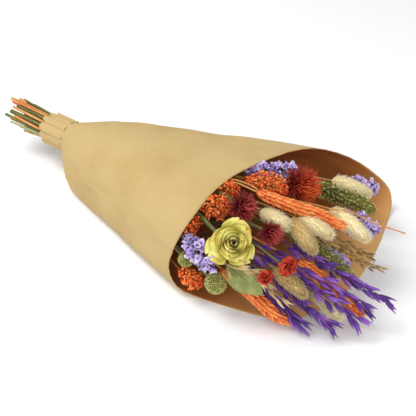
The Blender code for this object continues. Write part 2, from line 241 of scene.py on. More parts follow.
class Forms:
    """The small shapes of the bouquet, each modelled once."""

    @staticmethod
    def bud() -> Form:
        """A blunt bud of a few facets."""
        Bench.clear()
        bpy.ops.mesh.primitive_ico_sphere_add(subdivisions=1, radius=0.5, location=(0, 0, 0.5))
        bud = bpy.context.object
        bpy.ops.object.transform_apply()
        with Bench.edit(bud) as bm:
            Bench.pick(bud, bm, lambda p: p.z > 0.7)
            bpy.ops.transform.resize(value=(0.75, 0.75, 1.0))
        return Form.take(bud)

    @staticmethod
    def husk(belly: float, thickness: float, point: float) -> Form:
        """A pointed husk, flat at the back and keeled at the front.

        Args:
            belly: Width of its widest ring, as a share of its length.
            thickness: Depth, as a share of its width.
            point: Size of the ring below the tip; small gives a sharp tip.

        Returns:
            The husk's form.
        """
        Bench.clear()
        bpy.ops.mesh.primitive_uv_sphere_add(segments=6, ring_count=6, radius=0.5,
                                             location=(0, 0, 0.5))
        husk = bpy.context.object
        bpy.ops.object.transform_apply()
        with Bench.edit(husk) as bm:
            bpy.ops.mesh.select_all(action="SELECT")
            bpy.ops.transform.resize(value=(belly, belly * thickness, 1.0))
            Bench.pick(husk, bm, lambda p: p.z > 0.7 and p.z < 0.99)
            bpy.ops.transform.resize(value=(point, point, 1.0))
            Bench.pick(husk, bm, lambda p: p.y > 0.1 * belly)
            bpy.ops.transform.translate(value=(0.0, 0.10 * belly, 0.0))
        return Form.take(husk)

    @staticmethod
    def floret() -> Form:
        """A papery funnel with a ruffled, five-lobed rim."""
        Bench.clear()
        bpy.ops.mesh.primitive_cone_add(vertices=10, radius1=0.07, radius2=0.26, depth=0.66,
                                        end_fill_type="NOTHING", location=(0, 0, 0.33))
        floret = bpy.context.object
        bpy.ops.object.transform_apply()
        with Bench.edit(floret) as bm:
            Bench.pick(floret, bm, lambda p: p.z > 0.6)
            bpy.ops.mesh.extrude_region_move(TRANSFORM_OT_translate={"value": (0, 0, 0.22)})
            bpy.ops.transform.resize(value=(2.0, 2.0, 1.0))
            for vert in bm.verts:
                turn = math.atan2(vert.co.y, vert.co.x)
                if vert.co.z > 0.8:
                    ruffle = math.cos(5.0 * turn)
                    vert.co.x *= 1.0 + 0.42 * ruffle
                    vert.co.y *= 0.75 + 0.34 * ruffle
                    vert.co.z += 0.20 * ruffle + 0.16 * math.cos(2.0 * turn + 0.7)
            bmesh.update_edit_mesh(floret.data)
        Bench.modify(floret, "SOLIDIFY", thickness=0.035, offset=0.0)
        return Form.take(floret)

    @staticmethod
    def bract(bend: float) -> Form:
        """A narrow pointed bract, bent inwards.

        Args:
            bend: How far the tip leans to the front, as a share of the length.

        Returns:
            The bract's form.
        """
        Bench.clear()
        bpy.ops.mesh.primitive_cone_add(vertices=4, radius1=0.5, radius2=0.06, depth=1.0,
                                        location=(0, 0, 0.5))
        bract = bpy.context.object
        bpy.ops.object.transform_apply()
        with Bench.edit(bract) as bm:
            bpy.ops.mesh.select_all(action="DESELECT")
            for edge in bm.edges:
                edge.select = abs(edge.verts[0].co.z - edge.verts[1].co.z) > 0.5
            bmesh.update_edit_mesh(bract.data)
            bpy.ops.mesh.subdivide(number_cuts=2)
            for vert in bm.verts:
                swell = 1.0 + 0.9 * vert.co.z * (1.0 - vert.co.z) * 2.0
                vert.co.x *= swell
                vert.co.y = vert.co.y * 0.45 * swell + bend * vert.co.z ** 2
            bmesh.update_edit_mesh(bract.data)
        return Form.take(bract)

    @staticmethod
    def hair() -> Form:
        """A three-sided hair."""
        Bench.clear()
        bpy.ops.mesh.primitive_cone_add(vertices=3, radius1=0.5, radius2=0.05, depth=1.0,
                                        location=(0, 0, 0.5))
        hair = bpy.context.object
        bpy.ops.object.transform_apply()
        return Form.take(hair)

    @staticmethod
    def curl() -> Form:
        """A small crumpled petal that cups towards its front."""
        Bench.clear()
        bpy.ops.mesh.primitive_grid_add(x_subdivisions=4, y_subdivisions=4, size=1.0,
                                        location=(0, 0, 0))
        curl = bpy.context.object
        with Bench.edit(curl) as bm:
            for vert in bm.verts:
                x, up = vert.co.x, vert.co.y + 0.5
                spread = 0.35 + 0.9 * up - 0.35 * up * up
                vert.co = Vector((x * spread,
                                  0.9 * x * x - 0.25 * up * up + 0.10 * math.sin(9.0 * x) * up,
                                  up * (1.0 - 0.5 * x * x) + 0.08 * math.sin(11.0 * x + 1.0) * up))
            bmesh.update_edit_mesh(curl.data)
        Bench.modify(curl, "SOLIDIFY", thickness=0.05, offset=0.0)
        return Form.take(curl)


def settle(piece: Object, node: str, slot: str) -> Object:
    """Put a finished piece in its solid's place.

    Args:
        piece: The piece.
        node: The solid it stands for.
        slot: Not used.

    Returns:
        The same piece.
    """
    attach(piece, ROOT)
    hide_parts(node)
    log.info("%s: %d faces", piece.name, len(piece.data.polygons))
    return piece


def crosswise(ahead: Array) -> tuple[Array, Array]:
    """Two directions across a direction.

    Args:
        ahead: The direction.

    Returns:
        Level and rising directions across it.
    """
    side = unit(np.cross(ahead, UP))
    return side, np.cross(side, ahead)


class Sheaf:
    """Many placed copies of forms, woven into one mesh."""

    def __init__(self, name: str) -> None:
        """Start an empty sheaf.

        Args:
            name: The name of the mesh it will make.
        """
        self.name = name
        self.batches: list[dict[str, Array]] = []
        self.count = 0

    def add(self, form: Form, foot: Array, forward: Array, facing: Array, length: Array,
            width: Array, tone: Array) -> None:
        """Place copies of a form.

        Args:
            form: The shape to copy.
            foot: Where each copy's foot stands, (n, 3).
            forward: Where each copy points, (n, 3).
            facing: The side that each copy's front turns to, (n, 3).
            length: Length of each copy.
            width: Width of each copy.
            tone: A number from 0 to 1 that tells the copies' colours apart.
        """
        ahead = unit(forward)
        front = unit(facing - (facing * ahead).sum(1, keepdims=True) * ahead + 1e-9)
        side = np.cross(front, ahead)
        shape = form.points[None]
        places = (foot[:, None] + side[:, None] * (shape[..., :1] * width[:, None, None])
                  + front[:, None] * (shape[..., 1:2] * width[:, None, None])
                  + ahead[:, None] * (shape[..., 2:] * length[:, None, None]))
        copies, size = len(foot), len(form.points)
        shifts = self.count + size * np.arange(copies)
        self.batches.append({
            "points": places.reshape(-1, 3),
            "sizes": np.tile(form.sizes, copies),
            "corners": (form.corners[None] + shifts[:, None]).ravel(),
            "along": np.tile(form.along, copies),
            "across": np.tile(form.across, copies),
            "tone": np.repeat(tone, size)})
        self.count += copies * size

    def grid(self, rows: Array, tone: float, across: Array | None = None,
             closed: bool = False) -> None:
        """Add a smooth surface from rows of points.

        Args:
            rows: Points, (rows, columns, 3), from foot to tip.
            tone: The surface's tone, 0 to 1.
            across: The across value of each column, or evenly spaced.
            closed: Whether the last column joins the first, with capped ends.
        """
        high, wide = rows.shape[:2]
        index = self.count + np.arange(high * wide).reshape(high, wide)
        last = wide if closed else wide - 1
        after = np.roll(index, -1, axis=1)
        quads = [(index[r, c], after[r, c], after[r + 1, c], index[r + 1, c])
                 for r in range(high - 1) for c in range(last)]
        corners = [i for quad in quads for i in quad]
        sizes = [4] * len(quads)
        if closed:
            corners += list(index[0][::-1]) + list(index[-1])
            sizes += [wide, wide]
        spread = np.linspace(0.0, 1.0, wide) if across is None else across
        self.batches.append({
            "points": rows.reshape(-1, 3), "sizes": np.array(sizes), "corners": np.array(corners),
            "along": np.repeat(np.linspace(0.0, 1.0, high), wide),
            "across": np.tile(spread, high), "tone": np.full(high * wide, tone)})
        self.count += high * wide

    def weave(self, material: bpy.types.Material) -> Object:
        """Make the mesh object.

        Args:
            material: The finish of all its faces.

        Returns:
            The new object.
        """
        parts = {key: np.concatenate([b[key] for b in self.batches]) for key in self.batches[0]}
        mesh = bpy.data.meshes.new(self.name)
        mesh.vertices.add(len(parts["points"]))
        mesh.vertices.foreach_set("co", parts["points"].astype(np.float32).ravel())
        mesh.loops.add(len(parts["corners"]))
        mesh.loops.foreach_set("vertex_index", parts["corners"].astype(np.int32))
        mesh.polygons.add(len(parts["sizes"]))
        starts = np.concatenate(([0], np.cumsum(parts["sizes"])[:-1]))
        mesh.polygons.foreach_set("loop_start", starts.astype(np.int32))
        mesh.polygons.foreach_set("use_smooth", np.ones(len(starts), bool))
        for key in ("along", "across", "tone"):
            layer = mesh.attributes.new(key, "FLOAT", "POINT")
            layer.data.foreach_set("value", parts[key].astype(np.float32))
        mesh.update(calc_edges=True)
        mesh.materials.append(material)
        obj = bpy.data.objects.new(self.name, mesh)
        bpy.context.scene.collection.objects.link(obj)
        return obj


# ---- shader maths ------------------------------------------------------------
class Value:
    """A socket that Python arithmetic turns into Math nodes."""

    def __init__(self, bench: Mixer, socket: bpy.types.NodeSocket) -> None:
        """Wrap a socket.

        Args:
            bench: The material's node bench.
            socket: The socket to wrap.
        """
        self.bench = bench
        self.socket = socket

    def _math(self, operation: str, first: object, second: object) -> Value:
        """Add one Math node."""
        return self.bench.value("ShaderNodeMath", {"operation": operation}, {0: first, 1: second})

    def __add__(self, other: object) -> Value:
        """Sum."""
        return self._math("ADD", self, other)

    __radd__ = __add__

    def __sub__(self, other: object) -> Value:
        """Difference."""
        return self._math("SUBTRACT", self, other)

    def __rsub__(self, other: object) -> Value:
        """Difference from a number."""
        return self._math("SUBTRACT", other, self)

    def __mul__(self, other: object) -> Value:
        """Product."""
        return self._math("MULTIPLY", self, other)

    __rmul__ = __mul__

    def over(self, edge: float, soft: float) -> Value:
        """A soft step: 0 well below the edge and 1 well above it.

        Args:
            edge: Where the step is.
            soft: Half the width of the step.

        Returns:
            The step's value.
        """
        return self.bench.value("ShaderNodeMapRange", {"interpolation_type": "SMOOTHSTEP"},
                                {"Value": self, "From Min": edge - soft, "From Max": edge + soft})


class Mixer:
    """Builds one material's nodes."""

    def __init__(self, name: str) -> None:
        """Start a material.

        Args:
            name: The material's name.
        """
        self.material = bpy.data.materials.new(name)
        self.material.use_nodes = True
        self.tree = self.material.node_tree
        self.shader = self.tree.nodes["Principled BSDF"]

    def node(self, kind: str, settings: dict[str, object], inputs: dict[object, object]
             ) -> bpy.types.Node:
        """Add a node.

        Args:
            kind: The node's type.
            settings: Its properties, and "stops" for a colour ramp.
            inputs: Numbers, colours or links for its sockets.

        Returns:
            The new node.
        """
        node = self.tree.nodes.new(kind)
        for key, setting in settings.items():
            if key == "stops":
                self._stops(node, setting)
            else:
                setattr(node, key, setting)
        for key, given in inputs.items():
            self.feed(node.inputs[key], given)
        return node

    def _stops(self, node: bpy.types.Node, stops: list[tuple[float, Colour]]) -> None:
        """Set a colour ramp's stops."""
        elements = node.color_ramp.elements
        while len(elements) < len(stops):
            elements.new(0.5)
        for element, (place, colour) in zip(elements, stops):
            element.position = place
            element.color = linear(colour)

    def feed(self, socket: bpy.types.NodeSocket, given: object) -> None:
        """Link or set a socket.

        Args:
            socket: The socket to feed.
            given: A Value, a socket, or a constant.
        """
        given = given.socket if isinstance(given, Value) else given
        if isinstance(given, bpy.types.NodeSocket):
            self.tree.links.new(given, socket)
        else:
            socket.default_value = given

    def value(self, kind: str, settings: dict[str, object], inputs: dict[object, object],
              output: int | str = 0) -> Value:
        """Add a node and wrap one of its outputs."""
        return Value(self, self.node(kind, settings, inputs).outputs[output])

    def place(self) -> Value:
        """The object coordinates."""
        return self.value("ShaderNodeTexCoord", {}, {}, "Object")

    def trait(self, name: str) -> Value:
        """A number that each point of the piece carries.

        Args:
            name: The attribute's name.

        Returns:
            Its value.
        """
        return self.value("ShaderNodeAttribute", {"attribute_name": name}, {}, "Fac")

    def noise(self, vector: Value, scale: float, detail: float = 3.0, rough: float = 0.55) -> Value:
        """Noise between 0 and 1.

        Args:
            vector: Where it is read.
            scale: Its scale, per metre.
            detail: How many octaves.
            rough: How strong the finer octaves are.

        Returns:
            The noise.
        """
        return self.value("ShaderNodeTexNoise", {}, {"Vector": vector, "Scale": scale,
                                                     "Detail": detail, "Roughness": rough})

    def stretch(self, vector: Value, scale: tuple[float, float, float]) -> Value:
        """Scale a vector, so that a pattern on it is drawn out."""
        return self.value("ShaderNodeMapping", {}, {"Vector": vector, "Scale": scale})

    def gather(self, x: object, y: object, z: object) -> Value:
        """A vector of three values."""
        return self.value("ShaderNodeCombineXYZ", {}, {0: x, 1: y, 2: z})

    def ramp(self, factor: Value, stops: list[tuple[float, Colour]]) -> Value:
        """A colour ramp.

        Args:
            factor: Where on the ramp.
            stops: Places and colours.

        Returns:
            The colour.
        """
        return self.value("ShaderNodeValToRGB", {"stops": stops}, {"Fac": factor}, "Color")

    def blend(self, factor: object, first: object, second: object, way: str = "MIX") -> Value:
        """Mix two colours.

        Args:
            factor: Share of the second colour.
            first: A colour or a colour's value.
            second: A colour or a colour's value.
            way: The mix's blend type.

        Returns:
            The mixed colour.
        """
        return self.value("ShaderNodeMix", {"data_type": "RGBA", "blend_type": way},
                          {0: factor, 6: first, 7: second}, 2)

    def bump(self, height: Value, depth: float, strength: float = 1.0) -> Value:
        """A bumped normal.

        Args:
            height: The height, 0 to 1.
            depth: How far 1 stands above 0, in metres.
            strength: How much of the bump is used.

        Returns:
            The normal.
        """
        return self.value("ShaderNodeBump", {}, {"Height": height, "Distance": depth,
                                                 "Strength": strength}, "Normal")

    def finish(self, colour: Value, roughness: object, normal: Value | None = None,
               **constants: float) -> bpy.types.Material:
        """Feed the shader and hand over the material.

        Args:
            colour: The base colour.
            roughness: The roughness.
            normal: The bumped normal, if any.
            constants: Other sockets' fixed values, with _ for a space.

        Returns:
            The finished material.
        """
        self.feed(self.shader.inputs["Base Color"], colour)
        self.feed(self.shader.inputs["Roughness"], roughness)
        if normal is not None:
            self.feed(self.shader.inputs["Normal"], normal)
        for key, constant in constants.items():
            self.shader.inputs[key.replace("_", " ")].default_value = constant
        return self.material


# ---- finishes ----------------------------------------------------------------
class Finish:
    """A finish whose material is made once, from its own nodes."""

    name: str

    def material(self) -> bpy.types.Material:
        """The finish's material."""
        made = bpy.data.materials.get(self.name)
        return made if made is not None else self._paint()

    def _paint(self) -> bpy.types.Material:
        """Build the nodes."""
        raise NotImplementedError


@dataclass(frozen=True)
class PlantFinish(Finish):
    """A dry plant part: darker towards its foot as painted shade in its folds, pale on its tips, with
    grain.
    """

    name: str
    # The darkest colour: the plant's own deep tone, and the painted shade at each part's foot.
    deep_and_shade: Colour
    body: Colour
    pale: Colour
    roughness: float = 0.7
    tone_share: float = 0.45
    shade_to_tip_share: float = 0.5
    grain: float = 900.0
    grain_share: float = 0.35
    streaks: float = 0.0
    bump: float = 0.15
    patches: float = 60.0
    patch_share: float = 0.35

    def _paint(self) -> bpy.types.Material:
        """Build the nodes."""
        mix = Mixer(self.name)
        place = mix.place()
        along, across, tone = (mix.trait(key) for key in ("along", "across", "tone"))
        grain = mix.noise(place, self.grain)
        patch = mix.noise(place, self.patches, 2.0)
        # Painted shade: along is 0 at each part's foot, so feet and folds go towards the darkest
        # colour.
        level = (along * self.shade_to_tip_share + tone * self.tone_share
                 + (grain - 0.5) * self.grain_share + (patch - 0.5) * self.patch_share
                 + 0.5 * (1.0 - self.shade_to_tip_share - self.tone_share))
        colour = mix.ramp(level, [(0.08, self.deep_and_shade), (0.48, self.body), (0.92, self.pale)])
        height = grain
        if self.streaks:
            ribs = mix.noise(mix.gather(across * self.streaks, along * 1.3, tone * 37.0), 1.0, 2.0)
            colour = mix.blend((ribs - 0.38) * 1.6, colour, mix.blend(0.55, colour, linear(self.pale)))
            height = ribs * 0.7 + grain * 0.3
        normal = mix.bump(height, 0.0004, self.bump + 0.25)
        return mix.finish(colour, self.roughness + (grain - 0.5) * 0.2, normal,
                          Specular_IOR_Level=0.35)


@dataclass(frozen=True)
class StemFinish(Finish):
    """A cut stem: fibres along it, with patches in another colour."""

    name: str
    dark: Colour
    light: Colour
    blush: Colour
    roughness: float = 0.6

    def _paint(self) -> bpy.types.Material:
        """Build the nodes."""
        mix = Mixer(self.name)
        place = mix.place()
        across, tone = mix.trait("across"), mix.trait("tone")
        fibre = mix.noise(mix.stretch(place, (14.0, 900.0, 900.0)), 1.0, 4.0, 0.6)
        patch = mix.noise(mix.stretch(place, (28.0, 120.0, 120.0)), 1.0, 2.0)
        colour = mix.ramp(fibre * 0.8 + tone * 0.25 - 0.05,
                          [(0.22, self.dark), (0.5, self.light), (0.85, self.light)])
        colour = mix.blend(patch.over(0.58, 0.12), colour, linear(self.blush))
        flute = mix.noise(mix.gather(across * 9.0, tone * 20.0, 0.0), 1.0, 1.0)
        normal = mix.bump(fibre * 0.6 + flute * 0.4, 0.0005, 0.6)
        return mix.finish(colour, self.roughness, normal, Specular_IOR_Level=0.35)


@dataclass(frozen=True)
class RoseFinish(Finish):
    """A dried rose petal: yellow green, veined, tan and curled at its edge."""

    name: str = "rose_petal"
    deep_and_shade: Colour = (108, 92, 18)
    body: Colour = (192, 182, 60)
    pale: Colour = (236, 230, 136)
    tan: Colour = (202, 148, 58)

    def _paint(self) -> bpy.types.Material:
        """Build the nodes."""
        mix = Mixer(self.name)
        place = mix.place()
        along, across, tone = (mix.trait(key) for key in ("along", "across", "tone"))
        veins = mix.noise(mix.gather(across * 22.0, along * 2.2, tone * 31.0), 1.0, 3.0, 0.6)
        patch = mix.noise(place, 95.0, 3.0)
        fine = mix.noise(place, 1500.0, 2.0)
        # Painted shade: each petal darkens towards its foot, deep in the bloom's crevices.
        level = along * 0.62 + (veins - 0.5) * 0.34 + (patch - 0.5) * 0.45 + tone * 0.10 + 0.06
        colour = mix.ramp(level, [(0.05, self.deep_and_shade), (0.42, self.body), (0.82, self.pale)])
        scorch = mix.noise(place, 70.0, 2.0, 0.4).over(0.57, 0.10) * 0.62
        colour = mix.blend(scorch, colour, linear(self.tan))
        rim = along.over(0.985, 0.02) * veins.over(0.45, 0.15) * 0.45
        colour = mix.blend(rim, colour, linear(self.tan))
        normal = mix.bump(veins * 0.75 + fine * 0.25, 0.0007, 0.55)
        return mix.finish(colour, 0.62 + (veins - 0.5) * 0.2, normal, Specular_IOR_Level=0.3,
                          Sheen_Weight=0.12)


@dataclass(frozen=True)
class PaperFinish(Finish):
    """Kraft paper: fine fibres, soft mottling, faint handling marks, and an optional painted shade."""

    name: str
    light: Colour
    dark: Colour
    fleck: Colour
    # depth, if given, is a painted shade colour, blended in more strongly towards low X, deep in the
    # sleeve near the cut stems.
    depth: Colour | None = None
    painted_shade_from: float = 0.235
    painted_shade_to: float = 0.085

    def _paint(self) -> bpy.types.Material:
        """Build the nodes."""
        mix = Mixer(self.name)
        place = mix.place()
        fibre = mix.noise(mix.stretch(place, (260.0, 900.0, 900.0)), 1.0, 4.0, 0.65)
        cloud = mix.noise(place, 14.0, 3.0)
        ribs = mix.noise(mix.stretch(place, (6.0, 420.0, 420.0)), 1.0, 2.0, 0.5)
        colour = mix.ramp(cloud * 0.55 + fibre * 0.35 + ribs * 0.10,
                          [(0.30, self.dark), (0.52, self.light), (0.80, self.light)])
        specks = mix.noise(place, 1400.0, 1.0).over(0.70, 0.05)
        colour = mix.blend(specks * 0.30, colour, linear(self.fleck))
        # Painted shade: the colour blends towards the depth colour as X falls towards the cut stems.
        if self.depth is not None:
            inward = mix.value("ShaderNodeSeparateXYZ", {}, {0: place}, 0)
            painted_shade_mask = mix.value("ShaderNodeMapRange", {"interpolation_type": "SMOOTHSTEP"},
                              {"Value": inward, "From Min": self.painted_shade_from,
                               "From Max": self.painted_shade_to})
            colour = mix.blend(painted_shade_mask * 0.88, colour, linear(self.depth))
        crumple = mix.noise(place, 34.0, 3.0, 0.45)
        normal = mix.bump(crumple * 0.85 + fibre * 0.12 + ribs * 0.08, 0.0016, 0.35)
        return mix.finish(colour, 0.78 + (fibre - 0.5) * 0.16, normal, Specular_IOR_Level=0.28)


class Finishes:
    """Every finish of the bouquet, by the plant that wears it."""

    statice = PlantFinish("statice_floret", (74, 48, 112), (148, 116, 198), (228, 214, 242),
                          0.75, 0.40, 0.60, grain=1400.0, streaks=7.0)
    buds = PlantFinish("orange_bud", (160, 46, 10), (242, 108, 36), (252, 170, 92), 0.62,
                       0.60, 0.25, grain=700.0)
    crimson = PlantFinish("crimson_bract", (48, 8, 12), (132, 24, 28), (206, 84, 78), 0.55,
                          0.55, 0.55, streaks=4.0)
    scarlet = PlantFinish("scarlet_bract", (60, 10, 12), (172, 38, 24), (238, 108, 50), 0.55,
                          0.60, 0.55, streaks=4.0)
    bunny = PlantFinish("bunny_fluff", (238, 210, 144), (253, 238, 188), (255, 250, 226), 0.95,
                        0.50, 0.45, grain=2200.0, grain_share=0.2, bump=0.3)
    # A painted-shade copy of the bunny fluff, for tails that lie in shade.
    bunny_shaded = PlantFinish("bunny_fluff_painted_shade", (150, 116, 58), (214, 184, 118), (240, 222, 172),
                               0.95, 0.50, 0.45, grain=2200.0, grain_share=0.2, bump=0.3)
    wheat = PlantFinish("wheat_husk", (120, 30, 6), (216, 88, 30), (248, 164, 88), 0.48,
                        0.40, 0.70, streaks=8.0, bump=0.25)
    oat = PlantFinish("oat_husk", (22, 4, 52), (74, 28, 126), (158, 102, 196), 0.40,
                      0.50, 0.45, streaks=9.0, bump=0.25)
    straw = PlantFinish("straw_husk", (104, 74, 34), (190, 160, 104), (236, 218, 172), 0.55,
                        0.45, 0.45, streaks=8.0, bump=0.25)
    brown = PlantFinish("brown_husk", (74, 48, 18), (146, 112, 62), (206, 178, 120), 0.55,
                        0.45, 0.45, streaks=8.0, bump=0.25)
    olive = PlantFinish("olive_bristle", (58, 56, 16), (138, 136, 62), (196, 192, 118), 0.8,
                        0.60, 0.50, grain=1300.0)
    fluff = PlantFinish("green_tuft", (88, 84, 28), (158, 156, 82), (212, 210, 138), 0.85,
                        0.55, 0.50, grain=1300.0)
    red = PlantFinish("red_petal", (58, 6, 10), (146, 20, 26), (222, 78, 44), 0.6,
                      0.50, 0.55, streaks=5.0)
    leaf = PlantFinish("rose_leaf_blade", (70, 78, 32), (128, 134, 70), (178, 178, 112), 0.50,
                       0.05, 0.20, grain=420.0, patches=150.0, patch_share=0.8, streaks=14.0)
    calyx = PlantFinish("green_calyx", (50, 58, 22), (106, 118, 52), (160, 164, 96), 0.75)
    dyed_stem = StemFinish("orange_stem", (160, 100, 44), (218, 162, 92), (222, 128, 72))
    green_stem = StemFinish("green_stem", (46, 50, 14), (94, 98, 40), (134, 130, 72))
    sage_stem = StemFinish("sage_stem", (120, 128, 82), (168, 176, 124), (186, 178, 120))
    straw_stem = StemFinish("straw_stem", (150, 120, 66), (206, 180, 120), (214, 164, 96))
    dark_stem = StemFinish("dark_stem", (28, 28, 12), (66, 66, 30), (88, 78, 40))
    violet_stem = StemFinish("violet_stem", (58, 30, 70), (116, 70, 130), (150, 92, 90))
    paper = PaperFinish("kraft_outside", (193, 167, 114), (179, 150, 93), (146, 113, 62))
    # The lining's last colour is a painted shade that deepens into the sleeve towards the cut stems.
    lining = PaperFinish("kraft_inside", (238, 190, 120), (226, 168, 96), (170, 118, 60),
                         (150, 74, 22))
    twine = StemFinish("jute_twine", (122, 92, 48), (178, 148, 96), (190, 160, 108), 0.9)


# ---- stalks ------------------------------------------------------------------
@dataclass
class Stalk:
    """The middle line of one cut flower, read from the rings of its solid."""

    node: str
    places: Array
    radii: Array
    slim: float
    head_from: float
    length: float

    @staticmethod
    def read(node: str) -> Stalk:
        """Read a stalk from its solid.

        Args:
            node: The solid's name.

        Returns:
            The stalk, from the cut end to the tip of the head.
        """
        points = np.array([v.co[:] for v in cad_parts[node].data.vertices])
        order = points[points[:, 0].argsort()]
        cuts = np.nonzero(np.diff(order[:, 0]) > 0.5 * MM)[0] + 1
        rings = np.split(order, cuts)
        centres = np.array([0.5 * (ring.min(0) + ring.max(0)) for ring in rings])
        radii = np.array([0.5 * (ring.max(0) - ring.min(0))[1:].max() for ring in rings])
        steps = np.concatenate(([0.0], np.cumsum(np.linalg.norm(np.diff(centres, axis=0), axis=1))))
        slim = float(radii[:3].min())
        swollen = np.nonzero(radii > 1.25 * slim)[0]
        start = steps[max(swollen[0] - 1, 0)] if len(swollen) else steps[-2]
        fine = np.linspace(0.0, steps[-1], max(24, int(steps[-1] / (4.0 * MM))))
        places = Stalk._ease(np.stack([np.interp(fine, steps, centres[:, c]) for c in range(3)], 1))
        return Stalk(node, places, np.interp(fine, steps, radii), slim,
                     float(start / steps[-1]), float(steps[-1]))

    @staticmethod
    def _ease(places: Array, passes: int = 3) -> Array:
        """Round a broken line's corners, with its ends kept."""
        for _ in range(passes):
            places[1:-1] = 0.25 * places[:-2] + 0.5 * places[1:-1] + 0.25 * places[2:]
        return places

    def at(self, share: Array) -> tuple[Array, Array, Array, Array]:
        """Places and directions along the stalk.

        Args:
            share: Shares of its length, 0 at the cut end.

        Returns:
            Middle points, forward directions, sideways directions and up directions.
        """
        where = np.clip(np.atleast_1d(share), 0.0, 1.0) * (len(self.places) - 1)
        index = np.arange(len(self.places))
        centre = np.stack([np.interp(where, index, self.places[:, c]) for c in range(3)], 1)
        slope = np.gradient(self.places, axis=0)
        ahead = unit(np.stack([np.interp(where, index, slope[:, c]) for c in range(3)], 1))
        side = unit(np.cross(ahead, UP))
        return centre, ahead, side, np.cross(side, ahead)

    def head(self, share: Array) -> Array:
        """Turn shares of the head's length into shares of the stalk's.

        Args:
            share: 0 at the head's base and 1 at its tip.

        Returns:
            Shares of the whole stalk.
        """
        return self.head_from + np.asarray(share) * (1.0 - self.head_from)

    @property
    def head_radius(self) -> float:
        """Largest radius of the head."""
        return float(self.radii.max())


def ring_of(ahead: Array, count: int) -> Array:
    """Directions evenly spaced round a direction.

    Args:
        ahead: The direction.
        count: How many.

    Returns:
        The directions, (count, 3).
    """
    side, lift = crosswise(ahead)
    turn = (np.arange(count) * math.tau / count)[:, None]
    return np.cos(turn) * side + np.sin(turn) * lift


def dome(ahead: Array, count: int, cover: float) -> Array:
    """Directions spread evenly over part of a ball.

    Args:
        ahead: The middle of the part.
        count: How many.
        cover: How much of the ball: 1 is its front half, and 2 is all of it.

    Returns:
        The directions, (count, 3).
    """
    side, lift = crosswise(ahead)
    step = np.arange(count)
    polar = np.arccos(1.0 - cover * (step + 0.5) / count)[:, None]
    turn = (step * GOLDEN)[:, None]
    return np.cos(polar) * ahead + np.sin(polar) * (np.cos(turn) * side + np.sin(turn) * lift)


class Shelter:
    """Tells the places inside the sleeve from those above its paper."""

    walls_crossed_outside: int = 4
    step: float = 0.05 * MM
    margin: float = 2.0 * MM

    def __init__(self) -> None:
        """Read the sleeve's solid."""
        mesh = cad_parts["kraft_sleeve"].data
        self.tree = BVHTree.FromPolygons([v.co[:] for v in mesh.vertices],
                                         [p.vertices[:] for p in mesh.polygons])

    def covers(self, places: Array) -> Array:
        """Find the places that the sleeve covers, or that lie beyond its mouth.

        Args:
            places: Points to test, (n, 3).

        Returns:
            True for each point inside the sleeve or in front of its mouth.
        """
        return np.array([self._walls(Vector(place + UP * self.margin)) < self.walls_crossed_outside
                         for place in places])

    def _walls(self, place: Vector) -> int:
        """Count the faces met on the way down."""
        count, down = 0, Vector((0.0, 0.0, -1.0))
        while count < self.walls_crossed_outside:
            hit = self.tree.ray_cast(place, down)[0]
            if hit is None:
                break
            place = hit + down * self.step
            count += 1
        return count


def tube(sheaf: Sheaf, line: Array, radius: Array, tone: float, sides: int = 8) -> None:
    """Add a closed round stalk along a line.

    Args:
        sheaf: The mesh to add to.
        line: Points along its middle.
        radius: Radius at each point.
        tone: The stalk's tone.
        sides: How many sides it has.
    """
    ahead = unit(np.gradient(line, axis=0))
    helper = np.where(np.abs(ahead[:, 2:]) > 0.9, np.array((1.0, 0.0, 0.0)), UP)
    side = unit(np.cross(ahead, helper))
    lift = np.cross(side, ahead)
    turn = np.linspace(0.0, math.tau, sides, endpoint=False)[None, :, None]
    rows = line[:, None] + radius[:, None, None] * (side[:, None] * np.cos(turn)
                                                    - lift[:, None] * np.sin(turn))
    sheaf.grid(rows, tone, closed=True)


# ---- flowers -----------------------------------------------------------------
@dataclass
class Flower:
    """One cut stem with its head; each kind of flower makes its own head."""

    node: str
    slot: str
    stem: StemFinish
    bloom: Finish
    full: float = 1.0
    stalk: Stalk = field(init=False)
    rng: np.random.Generator = field(init=False)

    def __post_init__(self) -> None:
        """Read the stalk and seed the flower's own dice."""
        self.stalk = Stalk.read(self.node)
        self.rng = dice(self.node)

    def stem_part(self, until: float = 0.35) -> Object:
        """The stem, from its cut end into the head.

        Args:
            until: How far into the head it reaches.

        Returns:
            The stem's object.
        """
        shares = np.linspace(0.0, float(self.stalk.head(until)), len(self.stalk.places))
        line = self.stalk.at(shares)[0]
        steps = np.arange(len(line))
        joints = 1.0 + 0.10 * np.exp(-((steps % 17 - 8.0) / 1.2) ** 2)
        taper = np.linspace(1.08, 0.80, len(line))
        sheaf = Sheaf(self.node + "_stem")
        tube(sheaf, line, self.stalk.slim * 0.98 * joints * taper, float(self.rng.random()))
        return sheaf.weave(self.stem.material())

    def head_parts(self) -> list[Object]:
        """The head's objects; a bare stem has none."""
        return []

    def build(self) -> Object:
        """Make the flower, and put it in its solid's place.

        Returns:
            The finished piece.
        """
        parts = [self.stem_part(), *self.head_parts()]
        piece = Bench.join(self.node + "_plant", parts)
        return settle(piece, self.node, self.slot)

    def girth(self, share: Array) -> Array:
        """The solid's radius at shares of the head."""
        where = np.clip(self.stalk.head(share), 0.0, 1.0) * (len(self.stalk.radii) - 1)
        return np.interp(where, np.arange(len(self.stalk.radii)), self.stalk.radii)

    def ring_spots(self, count: int, low: float, high: float) -> tuple[Array, Array, Array, Array]:
        """Spots wound evenly round the head, from its base to its tip.

        Args:
            count: How many.
            low: First share of the head.
            high: Last share of the head.

        Returns:
            Shares of the head, middle points, forward and outward directions.
        """
        share = low + (high - low) * (np.arange(count) + self.rng.random(count)) / count
        centre, ahead, side, lift = self.stalk.at(self.stalk.head(share))
        turn = (np.arange(count) * GOLDEN + self.rng.normal(0, 0.3, count))[:, None]
        return share, centre, ahead, side * np.cos(turn) + lift * np.sin(turn)


